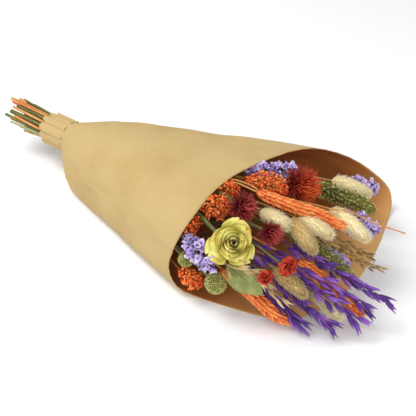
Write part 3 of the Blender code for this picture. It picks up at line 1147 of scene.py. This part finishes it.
@dataclass
class Statice(Flower):
    """Sprays of papery funnels on short green branches."""

    florets: int = 46
    size: float = 6.0 * MM

    def head_parts(self) -> list[Object]:
        """Funnels and their branches."""
        share, centre, ahead, out = self.ring_spots(self.florets, 0.0, 1.0)
        radius = self.stalk.head_radius * self.full
        reach = radius * (0.35 + 0.75 * self.rng.random(self.florets))
        reach *= np.sqrt(np.clip(1.15 - share ** 2, 0.1, 1.0)) * np.clip(0.5 + share * 2, 0.4, 1)
        inside = 7.0 * MM * np.clip(1.0 - 2.0 * share, 0.0, 1.0)
        reach = np.clip(self.girth(share) - inside, 0.0, reach)
        lean = unit(out * (0.55 + 0.5 * self.rng.random((self.florets, 1))) + ahead * 0.6
                    + self.rng.normal(0, 0.35, (self.florets, 3)))
        foot = centre + out * reach[:, None] * 0.7
        size = self.size * (0.75 + 0.5 * self.rng.random(self.florets))
        blooms = Sheaf(self.node + "_florets")
        kept = Shelter().covers(foot + lean * size[:, None])
        width = size * (0.85 + 0.4 * self.rng.random(self.florets))
        blooms.add(FORMS["floret"], foot[kept], lean[kept],
                   self.rng.normal(0, 1, lean.shape)[kept], size[kept], width[kept],
                   self.rng.random(self.florets)[kept])
        twigs = Sheaf(self.node + "_twigs")
        for spot in np.nonzero(kept)[0][::2]:
            root = self.stalk.at(self.stalk.head(max(share[spot] - 0.25, 0.0)))[0][0]
            line = np.linspace(root, foot[spot] + lean[spot] * size[spot] * 0.2, 4)
            line[1:3] += out[spot] * radius * 0.08
            tube(twigs, line, np.array((0.7, 0.6, 0.5, 0.6)) * MM, self.rng.random(), 4)
        return [blooms.weave(self.bloom.material()), twigs.weave(Finishes.calyx.material())]


@dataclass
class BudSpray(Flower):
    """A dense spray of small blunt buds on fine twigs."""

    buds: int = 420
    size: float = 3.0 * MM

    def head_parts(self) -> list[Object]:
        """Buds and twigs."""
        share, centre, ahead, out = self.ring_spots(self.buds, 0.0, 1.0)
        radius = self.stalk.head_radius * self.full
        lump = 0.82 + 0.28 * np.sin(share * 19.0 + 3.0 * np.arctan2(out[:, 2], out[:, 1]))
        dome = np.sqrt(np.clip(1.05 - np.abs(2 * share - 0.95) ** 3, 0.08, 1.0))
        reach = radius * dome * lump * self.rng.uniform(0.62, 1.06, self.buds)
        inside = 2.6 * MM * np.clip(1.0 - 2.5 * share, 0.0, 1.0)
        reach = np.clip(1.15 * self.girth(share) - inside, 0.0, reach)
        foot = centre + out * reach[:, None] + self.rng.normal(0, 0.6 * MM, centre.shape)
        lean = unit(out + ahead * 0.5 + self.rng.normal(0, 0.4, out.shape))
        size = self.size * self.rng.uniform(0.7, 1.25, self.buds)
        # Painted shade: buds deeper in the spray take a darker tone, with random spread.
        tone = np.clip((reach / radius - 0.35) * 0.9 + self.rng.normal(0.18, 0.2, self.buds), 0, 1)
        sprays = Sheaf(self.node + "_buds")
        kept = Shelter().covers(foot + lean * size[:, None])
        width = size * self.rng.uniform(0.65, 0.95, self.buds)
        sprays.add(FORMS["bud"], foot[kept], lean[kept], self.rng.normal(0, 1, out.shape)[kept],
                   size[kept], width[kept], tone[kept])
        twigs = Sheaf(self.node + "_twigs")
        for spot in np.nonzero(kept)[0][::5]:
            root = self.stalk.at(self.stalk.head(max(share[spot] - 0.3, 0.0)))[0][0]
            tube(twigs, np.linspace(root, foot[spot], 3), np.array((0.5, 0.4, 0.4)) * MM,
                 self.rng.random(), 4)
        return [sprays.weave(self.bloom.material()), twigs.weave(Finishes.dyed_stem.material())]


@dataclass
class SpikyBloom(Flower):
    """A ball of narrow pointed bracts round a dark core."""

    bracts: int = 240
    reach: float = 10.0 * MM
    width: float = 1.7 * MM
    cover: float = 1.72
    beads: int = 60

    def head_parts(self) -> list[Object]:
        """Core and bracts."""
        stalk = self.stalk
        radius = stalk.head_radius * 0.62
        middle, ahead = (v[0] for v in stalk.at(stalk.head(0.5))[:2])
        out = dome(ahead, self.bracts, self.cover)
        lean = unit(out + ahead * 0.25 + self.rng.normal(0, 0.16, out.shape))
        length = self.reach * self.full * self.rng.uniform(0.75, 1.2, self.bracts)
        thorns = Sheaf(self.node + "_bracts")
        foot = middle + out * radius * 0.75
        # Painted light: bracts pointing along +X get a lighter tone, so that side of each ball reads
        # as lit, with random spread.
        light = np.clip(0.35 + 0.9 * out[:, 0] * 0.5 + self.rng.normal(0, 0.2, self.bracts), 0, 1)
        thorns.add(FORMS["bract"], foot, lean, ahead - out, length,
                   self.width * self.rng.uniform(0.8, 1.3, self.bracts), light)
        core = Sheaf(self.node + "_core")
        beads = self.beads
        inner = unit(self.rng.normal(0, 1, (beads, 3)))
        core.add(FORMS["bud"], middle + inner * radius * 0.45, inner, inner[:, ::-1],
                 np.full(beads, radius * 0.5), np.full(beads, radius * 0.55), np.zeros(beads))
        return [thorns.weave(self.bloom.material()), core.weave(self.bloom.material())]


@dataclass
class BunnyTail(Flower):
    """A soft oval tail: a smooth body under a coat of short silky hairs."""

    hairs: int = 1900
    coat: float = 5.4 * MM
    hair: float = 0.34 * MM

    def head_parts(self) -> list[Object]:
        """Body and coat."""
        stalk = self.stalk
        radius = stalk.head_radius * self.full
        rows = np.linspace(0.0, 1.0, 15)
        oval = radius * np.sqrt(np.clip(1.0 - (2 * rows ** 0.85 - 1.0) ** 2, 0.004, 1.0))
        line = stalk.at(stalk.head(rows * 1.0))[0]
        body = Sheaf(self.node + "_body")
        tube(body, line, oval * 0.86, 0.6, 16)
        share, centre, ahead, out = self.ring_spots(self.hairs, 0.0, 0.99)
        reach = np.interp(share, rows, oval) * 0.80
        lean = unit(out * 0.62 + ahead * (0.70 + 0.5 * share[:, None])
                    + self.rng.normal(0, 0.17, out.shape))
        coat = Sheaf(self.node + "_coat")
        length = self.coat * self.rng.uniform(0.7, 1.25, self.hairs)
        coat.add(FORMS["hair"], centre + out * reach[:, None], lean, out, length,
                 np.full(self.hairs, self.hair), self.rng.uniform(0.2, 1.0, self.hairs))
        return [body.weave(self.bloom.material()), coat.weave(self.bloom.material())]


@dataclass
class WheatEar(Flower):
    """An ear of plump husks in a herringbone, with short awns at its tip."""

    rows: int = 20
    husk: float = 10.5 * MM
    awns: int = 26

    def head_parts(self) -> list[Object]:
        """Husks and awns."""
        stalk = self.stalk
        fans = np.radians((-62.0, -22.0, 22.0, 62.0))
        share = np.repeat(np.linspace(0.0, 0.93, self.rows * 2), len(fans))
        count = len(share)
        flank = np.repeat(np.arange(self.rows * 2) % 2, len(fans)) * math.pi
        turn = (flank + np.tile(fans, self.rows * 2) + self.rng.normal(0, 0.07, count))[:, None]
        centre, ahead, side, lift = stalk.at(stalk.head(share))
        out = side * np.cos(turn) + lift * np.sin(turn)
        plump = np.sqrt(np.clip(1.08 - (1.7 * share - 0.75) ** 2, 0.2, 1.0))
        reach = stalk.head_radius * 0.32 * plump
        lean = unit(ahead + out * (0.42 + 0.12 * self.rng.random((count, 1))) * plump[:, None])
        length = self.husk * self.full * self.rng.uniform(0.88, 1.12, count) * (0.75 + 0.25 * plump)
        ear = Sheaf(self.node + "_husks")
        ear.add(FORMS["grain"], centre + out * reach[:, None], lean, out, length,
                length * self.rng.uniform(0.9, 1.1, count),
                self.rng.uniform(0.1, 0.9, count))
        awns = self.awns
        spots = self.rng.integers(0, count, awns)
        ear.add(FORMS["hair"], centre[spots] + out[spots] * reach[spots, None] + lean[spots] * 6 * MM,
                unit(lean[spots] + self.rng.normal(0, 0.1, (awns, 3))), out[spots],
                self.rng.uniform(7.0, 13.0, awns) * MM, np.full(awns, 0.4 * MM),
                self.rng.random(awns))
        return [ear.weave(self.bloom.material())]


@dataclass
class OatSpray(Flower):
    """Long husks, two or three together, hanging off thin branches."""

    spikelets: int = 24
    husk: float = 18.0 * MM
    spread: float = 4.2 * MM
    droop: float = 0.25

    def head_parts(self) -> list[Object]:
        """Husks and their hair-thin branches."""
        stalk, rng = self.stalk, self.rng
        count = self.spikelets
        share, centre, ahead, out = self.ring_spots(count, 0.0, 0.86)
        fan = self.spread * rng.uniform(0.15, 1.0, count) * (1.05 - 0.5 * share)
        foot = centre + out * fan[:, None] + ahead * fan[:, None] * 0.8
        foot[:, 2] = np.maximum(foot[:, 2] - self.droop * fan, 3.0 * MM)
        lean = unit(ahead + out * 0.28 + rng.normal(0, 0.13, out.shape)
                    - UP * self.droop * rng.random((count, 1)))
        tip_height = foot[:, 2] + lean[:, 2] * self.husk
        lean[:, 2] += np.clip(3.0 * MM - tip_height, 0.0, None) / self.husk
        husks, branches = Sheaf(self.node + "_husks"), Sheaf(self.node + "_branches")
        across = unit(np.cross(lean, rng.normal(0, 1, lean.shape)))
        tone = rng.random(count)
        for angle, size in ((0.16, 1.0), (-0.15, 0.92), (0.02, 0.74)):
            husks.add(FORMS["oat"], foot, unit(lean + across * angle), across * np.sign(angle),
                      self.husk * size * rng.uniform(0.85, 1.1, count),
                      self.husk * rng.uniform(0.85, 1.15, count), tone)
        for spot in range(count):
            root = stalk.at(stalk.head(max(share[spot] - 0.12, 0.0)))[0][0]
            bow = 0.5 * (root + foot[spot]) + out[spot] * fan[spot] * 0.15
            tube(branches, np.array((root, bow, foot[spot] + lean[spot] * MM)),
                 np.array((0.45, 0.35, 0.35)) * MM, tone[spot], 4)
        return [husks.weave(self.bloom.material()), branches.weave(self.stem.material())]


@dataclass
class Spike(Flower):
    """A dense spike of small seeds with bristles between them."""

    seeds: int = 420
    bristles: int = 420

    @staticmethod
    def outline(share: Array, least: float) -> Array:
        """The spike's girth at shares of its length, as a share of its widest."""
        return np.sqrt(np.clip(1.04 - np.abs(2 * share - 0.9) ** 2.6, least, 1.0))

    def head_parts(self) -> list[Object]:
        """Seeds, bristles and the core they sit on."""
        stalk, rng = self.stalk, self.rng
        radius = stalk.head_radius * self.full
        share, centre, ahead, out = self.ring_spots(self.seeds, 0.0, 0.985)
        body = self.outline(share, 0.1)
        lump = 1.0 + 0.10 * np.sin(share * 40.0 + 2.0 * np.arctan2(out[:, 2], out[:, 1]))
        reach = radius * body * lump * rng.uniform(0.55, 0.85, self.seeds)
        lean = unit(out + ahead * 0.7 + rng.normal(0, 0.3, out.shape))
        size = rng.uniform(2.6, 4.0, self.seeds) * MM
        grains = Sheaf(self.node + "_seeds")
        grains.add(FORMS["grain"], centre + out * reach[:, None], lean, out, size, size * 1.15,
                   rng.random(self.seeds))
        share, centre, ahead, out = self.ring_spots(self.bristles, 0.0, 0.985)
        reach = radius * 0.7 * self.outline(share, 0.1)
        lean = unit(out * 0.8 + ahead * 0.8 + rng.normal(0, 0.2, out.shape))
        grains.add(FORMS["hair"], centre + out * reach[:, None], lean, out,
                   rng.uniform(3.0, 6.0, self.bristles) * MM, np.full(self.bristles, 0.42 * MM),
                   rng.uniform(0.4, 1.0, self.bristles))
        core = Sheaf(self.node + "_core")
        rows = np.linspace(0.02, 0.97, 12)
        girth = radius * 0.6 * self.outline(rows, 0.05)
        tube(core, stalk.at(stalk.head(rows))[0], girth, 0.0, 8)
        return [grains.weave(self.bloom.material()), core.weave(self.bloom.material())]


@dataclass
class TuftBall(Flower):
    """A round tuft of short, densely set green hairs."""

    tufts: int = 900

    def head_parts(self) -> list[Object]:
        """Tufts on a small core."""
        stalk, rng = self.stalk, self.rng
        radius = stalk.head_radius * self.full
        middle = stalk.at(stalk.head(0.5))[0][0]
        step = np.arange(self.tufts)
        polar = np.arccos(1.0 - 2.0 * (step + 0.5) / self.tufts)
        out = np.stack((np.sin(polar) * np.cos(step * GOLDEN), np.sin(polar) * np.sin(step * GOLDEN),
                        np.cos(polar)), 1)
        ball = Sheaf(self.node + "_tufts")
        size = rng.uniform(0.26, 0.40, self.tufts) * radius
        ball.add(FORMS["grain"], middle + out * radius * 0.68,
                 unit(out + rng.normal(0, 0.30, out.shape)), rng.normal(0, 1, out.shape),
                 size, size * 0.75, rng.random(self.tufts))
        core = Sheaf(self.node + "_core")
        rows = np.linspace(-0.98, 0.98, 9)
        line = middle + np.outer(rows * radius * 0.74, (1.0, 0.0, 0.0))
        tube(core, line, radius * 0.74 * np.sqrt(1.0 - rows ** 2), 0.0, 12)
        return [ball.weave(self.bloom.material()), core.weave(self.bloom.material())]


@dataclass
class CurledBloom(Flower):
    """A small flower of crumpled, closely packed petals."""

    petals: int = 90
    cover: float = 1.45
    sepals: int = 9

    def head_parts(self) -> list[Object]:
        """Curled petals, with a ring of green sepals behind them."""
        stalk, rng = self.stalk, self.rng
        radius = stalk.head_radius * self.full
        middle, ahead = (v[0] for v in stalk.at(stalk.head(0.45))[:2])
        out = dome(ahead, self.petals, self.cover)
        head = Sheaf(self.node + "_petals")
        size = radius * rng.uniform(0.55, 0.8, self.petals)
        head.add(FORMS["curl"], middle + out * radius * 0.35,
                 unit(out + rng.normal(0, 0.22, out.shape)), ahead - out * 0.3
                 + rng.normal(0, 0.5, out.shape), size, size * 0.8, rng.random(self.petals))
        sepals = self.sepals
        spread = ring_of(ahead, sepals)
        collar = Sheaf(self.node + "_sepals")
        collar.add(FORMS["grain"], np.tile(middle - ahead * radius * 0.7, (sepals, 1)),
                   unit(spread + ahead * 0.5), spread, np.full(sepals, radius * 0.95),
                   np.full(sepals, radius * 0.8), rng.random(sepals))
        return [head.weave(self.bloom.material()), collar.weave(Finishes.calyx.material())]


@dataclass
class Rose(Flower):
    """A dried rose: a tight swirl of petals inside loose, pointed, curled ones."""

    petals: int = 24
    sepals: int = 6
    rows: int = 13
    columns: int = 15
    depth: float = 24.0 * MM
    sepal: float = 11.0 * MM
    heart: float = 1.6 * MM
    spread: float = 19.5 * MM
    axis: tuple[float, float, float] = (0.48, -0.60, 0.64)

    def petal(self, step: int, foot: Array, frame_axes: tuple[Array, Array, Array]) -> Array:
        """One petal's points.

        Args:
            step: Its number, from the heart outwards.
            foot: Where all petals meet.
            frame_axes: Two directions across the bloom, and its axis.

        Returns:
            Points, (rows, columns, 3).
        """
        rng = self.rng
        out = (step + 0.5) / (self.petals - 0.5)
        u = np.linspace(0.0, 1.0, self.rows)[:, None]
        v = np.linspace(-1.0, 1.0, self.columns)[None]
        top = (self.heart + self.spread * out) * rng.uniform(0.92, 1.10)
        height = (self.depth - 12.5 * MM * out ** 1.7) * rng.uniform(0.95, 1.05)
        width = (2.1 - 0.95 * out ** 0.7) * u ** 0.4 * (1.0 - 0.985 * u ** 2.4) ** 0.85 + 0.02
        turn = step * GOLDEN * 0.92 + v * width + 0.5 * u * (1.0 - out) + rng.normal(0, 0.08)
        curl = np.clip(u - 0.72, 0.0, None) / 0.28
        wave = np.sin(v * rng.uniform(3, 6) + rng.uniform(0, 6)) * 0.9 * MM * u ** 2 * (0.3 + out)
        radius = top * np.sin(u * math.pi * 0.5) ** (0.75 + 0.3 * out) + wave
        radius = radius / np.cos(np.clip(0.62 * v * width, -0.95, 0.95))
        radius = radius + (0.25 + out) * curl ** 2 * 2.8 * MM + np.abs(v) ** 3 * u * 2.8 * MM * out
        lift = height * u ** (1.0 + 0.25 * out) - out * curl ** 2 * 3.8 * MM
        lift = lift + np.sin(v * 7.0 + rng.uniform(0, 6)) * 0.35 * MM * u ** 3
        side, across, axis = frame_axes
        return (foot + side * (radius * np.cos(turn))[..., None]
                + across * (radius * np.sin(turn))[..., None]
                + axis * (lift + 0.0 * v)[..., None])

    def head_parts(self) -> list[Object]:
        """Petals, sepals and the neck that turns towards the bloom's axis."""
        axis = unit(np.array(self.axis))
        middle = self.stalk.at(self.stalk.head(0.5))[0][0]
        foot = middle - axis * self.depth * 0.45
        side = unit(np.cross(axis, UP))
        across = np.cross(axis, side)
        bloom = Sheaf(self.node + "_petals")
        for step in range(self.petals):
            bloom.grid(self.petal(step, foot, (side, across, axis)), float(self.rng.random()))
        petals = bloom.weave(self.bloom.material())
        Bench.modify(petals, "SOLIDIFY", thickness=PETAL, offset=0.0)
        Bench.modify(petals, "SUBSURF", levels=1, render_levels=1)
        sepals = self.sepals
        spread = ring_of(axis, sepals)
        collar = Sheaf(self.node + "_sepals")
        collar.add(FORMS["grain"], np.tile(foot - axis * MM, (sepals, 1)),
                   unit(spread * 0.9 + axis * 0.5), spread, np.full(sepals, self.sepal),
                   np.full(sepals, 10.0 * MM), self.rng.random(sepals))
        return [petals, collar.weave(Finishes.calyx.material())]


@dataclass
class Leaf(Flower):
    """A serrated leaf, folded a little along its midrib and curled at its tip."""

    blade: float = 44.0 * MM
    half: float = 12.0 * MM
    rows: int = 61
    columns: int = 17
    teeth: int = 12
    veins: int = 9
    normal: tuple[float, float, float] = (0.40, -0.72, 0.57)
    lie: tuple[float, float, float] = (0.86, 0.10, -0.42)

    def head_parts(self) -> list[Object]:
        """The blade and its midrib."""
        middle = self.stalk.at(self.stalk.head(0.4))[0][0]
        normal = unit(np.array(self.normal))
        along = unit(np.array(self.lie))
        side = unit(np.cross(normal, along))
        u = np.linspace(0.0, 1.0, self.rows)[:, None]
        v = np.linspace(-1.0, 1.0, self.columns)[None]
        teeth = 1.0 + 0.07 * np.abs((u * self.teeth) % 1.0 - 0.5) * np.abs(v) ** 3 * 2.0
        half = self.half * np.sin(math.pi * u ** 0.80) ** 0.9 * teeth + 0.25 * MM
        fold = 0.20 * np.abs(v) * half - 3.2 * MM * (2.0 * u - 0.9) ** 2
        veins = 0.45 * MM * np.cos((u - 0.22 * np.abs(v)) * self.veins * math.tau) ** 4
        ripple = 0.6 * MM * np.sin(u * 15.0 + v * 2.0) * np.abs(v) - veins
        start = middle - along * self.blade * 0.45
        rows = (start + along * (self.blade * u + 0.0 * v)[..., None]
                + side * (half * v)[..., None] + normal * (fold + ripple)[..., None])
        blade = Sheaf(self.node + "_blade")
        blade.grid(rows, 0.5)
        leaf = blade.weave(self.bloom.material())
        Bench.modify(leaf, "SOLIDIFY", thickness=PETAL, offset=0.0)
        rib = Sheaf(self.node + "_rib")
        tube(rib, rows[:, self.columns // 2] + normal * 0.2 * MM,
             np.linspace(0.6, 0.2, self.rows) * MM, 0.8, 5)
        return [leaf, rib.weave(Finishes.calyx.material())]


@dataclass
class BareStem(Flower):
    """A stalk with nothing on it."""

    def stem_part(self, until: float = 1.0) -> Object:
        """The whole stalk, to its tip."""
        return super().stem_part(1.0)


# ---- wrapping ----------------------------------------------------------------
@dataclass
class Sleeve:
    """The kraft sleeve: a flattened cone of paper, pleated where it is gathered."""

    node: str = "kraft_sleeve"
    wave: float = 1.0 * MM
    pleat: float = 2.0 * MM
    pleats: int = 17
    gathered: float = 95.0 * MM
    bins: int = 60
    bin_half: float = 12.0 * MM
    flat_below: float = 3.0 * MM
    full_rise: float = 14.0 * MM
    cuts: int = 3
    smooth_under: float = math.radians(50.0)

    def build(self) -> Object:
        """Shape the sleeve round its solid and dress it.

        Returns:
            The finished piece.
        """
        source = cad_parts[self.node]
        sleeve = bpy.data.objects.new("sleeve_paper", source.data.copy())
        sleeve.data.materials.clear()
        bpy.context.scene.collection.objects.link(sleeve)
        with Bench.edit(sleeve):
            bpy.ops.mesh.select_all(action="SELECT")
            bpy.ops.mesh.remove_doubles(threshold=MERGE)
            bpy.ops.mesh.tris_convert_to_quads()
            bpy.ops.mesh.subdivide(number_cuts=self.cuts)
        self._crumple(sleeve)
        Bench.hold(sleeve)
        bpy.ops.object.shade_smooth_by_angle(angle=self.smooth_under)
        return settle(sleeve, self.node, "kraft")

    def _crumple(self, sleeve: Object) -> None:
        """Move the paper in waves and pleats, and give its two sides their finish."""
        mesh = sleeve.data
        points = np.array([v.co[:] for v in mesh.vertices])
        low, high = points[:, 0].min(), points[:, 0].max()
        edges = np.linspace(low, high, self.bins)
        middles = np.array([[0.5 * (part[:, 1].min() + part[:, 1].max()),
                             0.5 * (part[:, 2].min() + part[:, 2].max())]
                            for edge in edges
                            for part in [points[np.abs(points[:, 0] - edge) <= self.bin_half]]])
        centre = np.stack([np.interp(points[:, 0], edges, middles[:, c]) for c in range(2)], 1)
        arm = points[:, 1:] - centre
        turn = np.arctan2(arm[:, 1] * 3.0, arm[:, 0])
        x = points[:, 0]
        near = np.clip(1.0 - (x - low) / self.gathered, 0.0, 1.0) ** 1.4
        drift = 2.0 * np.sin(x * 30.0)
        pleat = self.pleat * near * np.abs(np.sin(turn * self.pleats * 0.5 + drift))
        wave = self.wave * (np.sin(x * 46.0 + turn * 2.3) * np.sin(turn * 5.0 + x * 21.0)
                            + 0.6 * np.sin(x * 95.0 - turn * 4.0) * np.sin(turn * 3.0 + 1.0))
        rise = np.clip((points[:, 2] - self.flat_below) / self.full_rise, 0.0, 1.0)
        points[:, 1:] += unit(arm) * ((wave * (1.0 - near) - pleat * 0.5) * rise)[:, None]
        points[:, 2] = np.maximum(points[:, 2], 0.0)
        mesh.vertices.foreach_set("co", points.ravel())
        mesh.update()
        mesh.materials.append(Finishes.paper.material())
        mesh.materials.append(Finishes.lining.material())
        for face in mesh.polygons:
            spot = np.array(face.center[:])
            heart = np.array([np.interp(spot[0], edges, middles[:, c]) for c in range(2)])
            inward = heart - spot[1:]
            face.material_index = int(inward @ np.array(face.normal[:])[1:] > 0.0)


@dataclass
class Cuff:
    """The end of the paper, cut into overlapping lobed strips round the stems."""

    node: str = "paper_cuff"
    strips: int = 11
    rows: int = 14
    columns: int = 132
    thickness: float = 0.8 * MM
    lobe_depth: float = 9.0 * MM
    overlap: float = 2.6 * MM
    tucked: float = 4.0 * MM
    floor_gap: float = 0.5 * MM
    neck_gap: float = 2.6 * MM
    neck_fold: float = 1.3 * MM

    def build(self) -> Object:
        """Model the pleated cuff.

        Returns:
            The finished piece.
        """
        low, high = (np.array(corner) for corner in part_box(self.node))
        middle = 0.5 * (low + high)
        radius = 0.5 * float(high[1] - low[1])
        u = np.linspace(0.0, 1.0, self.rows)[:, None]
        turn = np.linspace(0.0, math.tau, self.columns)[None]
        phase = (turn * self.strips / math.tau) % 1.0
        lobe = np.sqrt(np.clip(1.0 - (2.0 * phase - 1.0) ** 2, 0.0, 1.0))
        start = low[0] + (1.0 - lobe) * self.lobe_depth
        x = start + (high[0] + self.tucked - start) * u
        step = (phase - 0.5) * self.overlap + 0.9 * MM * lobe
        flare = 1.0 * MM * (1.0 - u) ** 2 * np.sin(turn * 3.0 + 1.0)
        reach = radius - 1.4 * MM + step * (0.55 + 0.45 * (1.0 - u)) + flare
        rows = np.stack((x + 0.0 * turn, middle[1] + reach * np.cos(turn),
                         np.maximum(middle[2] + reach * np.sin(turn), self.floor_gap)), -1)
        sheaf = Sheaf("cuff_paper")
        sheaf.grid(rows, 0.5)
        cuff = sheaf.weave(Finishes.paper.material())
        Bench.modify(cuff, "SOLIDIFY", thickness=self.thickness, offset=-1.0)
        Bench.modify(cuff, "SUBSURF", levels=1, render_levels=1)
        cuff = Bench.join("cuff_paper", [cuff, self._gather(middle, radius)])
        return settle(cuff, self.node, "kraft")


    def _gather(self, middle: Array, radius: float) -> Object:
        """Model the crumpled paper that fills the neck between the stems.

        Args:
            middle: The cuff's middle.
            radius: The cuff's outer radius.

        Returns:
            The crumpled disc.
        """
        reach = np.linspace(0.03, 1.0, self.rows)[:, None] * (radius - self.neck_gap)
        turn = np.linspace(0.0, math.tau, self.columns, endpoint=False)[None]
        fold = self.neck_fold * np.sin(turn * 13.0 + reach * 300.0) * reach / radius
        rows = np.stack((middle[0] + 6.0 * MM + fold, middle[1] + reach * np.cos(turn),
                         middle[2] + reach * np.sin(turn)), -1)
        sheaf = Sheaf("gathered_neck")
        sheaf.grid(np.concatenate((rows, rows[:, :1]), 1), 0.2)
        # The lining's painted shade makes this disc dark, deep in the neck.
        disc = sheaf.weave(Finishes.lining.material())
        with Bench.edit(disc):
            bpy.ops.mesh.select_all(action="SELECT")
            bpy.ops.mesh.remove_doubles(threshold=MERGE)
            bpy.ops.mesh.normals_make_consistent(inside=False)
        Bench.modify(disc, "SOLIDIFY", thickness=self.thickness, offset=0.0)
        return disc


@dataclass
class Tie:
    """The twine wound three times round the bunch, under the cuff."""

    node: str = "tie"
    turns: int = 3
    points: int = 150

    def build(self) -> Object:
        """Wind the twine.

        Returns:
            The finished piece.
        """
        low, high = (np.array(corner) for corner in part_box(self.node))
        middle = 0.5 * (low + high)
        thick = 0.48 * float(high[0] - low[0]) / self.turns
        share = np.linspace(0.0, 1.0, self.points)
        turn = share * self.turns * math.tau
        reach = 0.5 * float(high[1] - low[1]) - thick
        line = np.stack((low[0] + thick + (high[0] - low[0] - 2.0 * thick) * share,
                         middle[1] + reach * np.cos(turn), middle[2] + reach * np.sin(turn)), 1)
        sheaf = Sheaf("twine_tie")
        tube(sheaf, line, thick * (1.0 + 0.06 * np.sin(share * 400.0)), 0.5, 7)
        tie = sheaf.weave(Finishes.twine.material())
        return settle(tie, self.node, "twine")


# ---- studio ------------------------------------------------------------------
@dataclass
class Studio:
    """A pale floor, soft lights and the camera."""

    target: Vector = field(default_factory=lambda: Vector((0.040, -0.008, 0.040)))
    azimuth: float = math.radians(40.0)
    elevation: float = math.radians(35.0)
    distance: float = 1.015
    lens: float = 85.0
    sensor: float = 36.0
    table: float = 8.0
    air: float = 0.60
    lamps: tuple[tuple[str, Vector, float, float], ...] = (
        ("key_lamp", Vector((-0.7, -0.4, 1.5)), 1.0, 19.0),
        ("fill_lamp", Vector((1.2, -1.0, 0.9)), 1.2, 13.0))

    def build(self) -> None:
        """Set everything up."""
        self._floor()
        for lamp in self.lamps:
            self._lamp(*lamp)
        world = bpy.context.scene.world or bpy.data.worlds.new("studio_air")
        bpy.context.scene.world = world
        world.use_nodes = True
        air = world.node_tree.nodes["Background"]
        air.inputs["Color"].default_value = linear((250, 250, 252))
        air.inputs["Strength"].default_value = self.air
        bpy.context.scene.view_settings.view_transform = "Standard"
        self._camera()

    def _floor(self) -> None:
        """A wide white table."""
        Bench.clear()
        bpy.ops.mesh.primitive_plane_add(size=self.table)
        floor = bpy.context.object
        floor.name = "white_table"
        mix = Mixer("white_table")
        cloud = mix.noise(mix.place(), 3.0)
        floor.data.materials.append(
            mix.finish(mix.ramp(cloud, [(0.0, (244, 244, 243)), (1.0, (250, 250, 250))]),
                       cloud * 0.1 + 0.75))

    def _lamp(self, name: str, place: Vector, size: float, power: float) -> None:
        """A square soft lamp that faces the bunch."""
        lamp = bpy.data.lights.new(name, "AREA")
        lamp.size, lamp.energy = size, power
        holder = bpy.data.objects.new(name, lamp)
        holder.location = place
        holder.rotation_euler = (place - self.target).to_track_quat("Z", "Y").to_euler()
        bpy.context.scene.collection.objects.link(holder)

    def _camera(self) -> None:
        """The camera."""
        back = Vector((math.sin(self.azimuth) * math.cos(self.elevation),
                       -math.cos(self.azimuth) * math.cos(self.elevation),
                       math.sin(self.elevation)))
        camera = bpy.data.cameras.new("camera")
        camera.lens, camera.sensor_width = self.lens, self.sensor
        holder = bpy.data.objects.new("camera", camera)
        holder.location = self.target + back * self.distance
        holder.rotation_euler = back.to_track_quat("Z", "Y").to_euler()
        bpy.context.scene.collection.objects.link(holder)
        bpy.context.scene.camera = holder


# ---- the bouquet -------------------------------------------------------------
FORMS: dict[str, Form] = {}


def flowers() -> list[Flower]:
    """Every cut flower of the bouquet, with its finish.

    Returns:
        The flowers, ready to build.
    """
    f = Finishes
    bunch: list[Flower] = [
        Rose("rose", "rose", f.green_stem, RoseFinish()),
        Leaf("rose_leaf", "leaf", f.green_stem, f.leaf),
        SpikyBloom("crimson_a", "crimson", f.green_stem, f.crimson, bracts=230, reach=10 * MM),
        SpikyBloom("crimson_b", "crimson", f.dyed_stem, f.scarlet, bracts=380, reach=13 * MM),
        SpikyBloom("crimson_c", "crimson", f.green_stem, f.crimson, bracts=200, reach=9 * MM),
        Spike("green_spike_a", "green_spike", f.green_stem, f.olive, full=1.15),
        Spike("green_spike_b", "green_spike", f.green_stem, f.olive),
        TuftBall("green_ball_a", "green_ball", f.sage_stem, f.fluff),
        TuftBall("green_ball_b", "green_ball", f.sage_stem, f.fluff),
        CurledBloom("red_rose_a", "red", f.green_stem, f.red),
        CurledBloom("red_rose_b", "red", f.dark_stem, f.red),
        OatSpray("oat_husk", "husk", f.straw_stem, f.straw, spikelets=10, husk=15 * MM),
        OatSpray("brown_grass_a", "brown", f.straw_stem, f.brown, spikelets=34, husk=9 * MM,
                 spread=4 * MM),
        OatSpray("brown_grass_b", "brown", f.straw_stem, f.brown, spikelets=30, husk=9 * MM,
                 spread=4 * MM),
        BareStem("orange_strand", "orange", f.dyed_stem, f.buds),
        BareStem("reed_a", "reed", f.dyed_stem, f.buds),
        BareStem("reed_b", "reed", f.dark_stem, f.buds),
    ]
    bunch += [Statice("statice_" + key, "statice", f.green_stem, f.statice, florets=count)
              for key, count in zip("abcdef", (110, 70, 66, 130, 90, 80))]
    bunch += [BudSpray("buds_" + key, "buds", f.dyed_stem, f.buds, full=1.15) for key in "abcde"]
    # Tails b and f wear the painted-shade copy of the fluff.
    bunch += [BunnyTail("bunny_tail_" + key, "bunny", f.straw_stem,
                        f.bunny_shaded if key in "bf" else f.bunny) for key in "abcdefg"]
    bunch += [WheatEar("wheat_" + key, "wheat", f.dyed_stem, f.wheat) for key in "abc"]
    bunch += [OatSpray("oat_" + key, "oat", f.violet_stem, f.oat) for key in "abcde"]
    return bunch


def main() -> None:
    """Build the bouquet, its wrapping and the studio."""
    FORMS.update(bud=Forms.bud(), floret=Forms.floret(), bract=Forms.bract(1.6),
                 hair=Forms.hair(), curl=Forms.curl(), grain=Forms.husk(0.42, 0.62, 0.72),
                 oat=Forms.husk(0.19, 0.6, 0.62))
    for flower in flowers():
        flower.build()
    for wrapping in (Sleeve(), Cuff(), Tie()):
        wrapping.build()
    Studio().build()


if __name__ == "__main__":
    logging.basicConfig(level=logging.INFO, format="%(name)s: %(message)s")
    main()
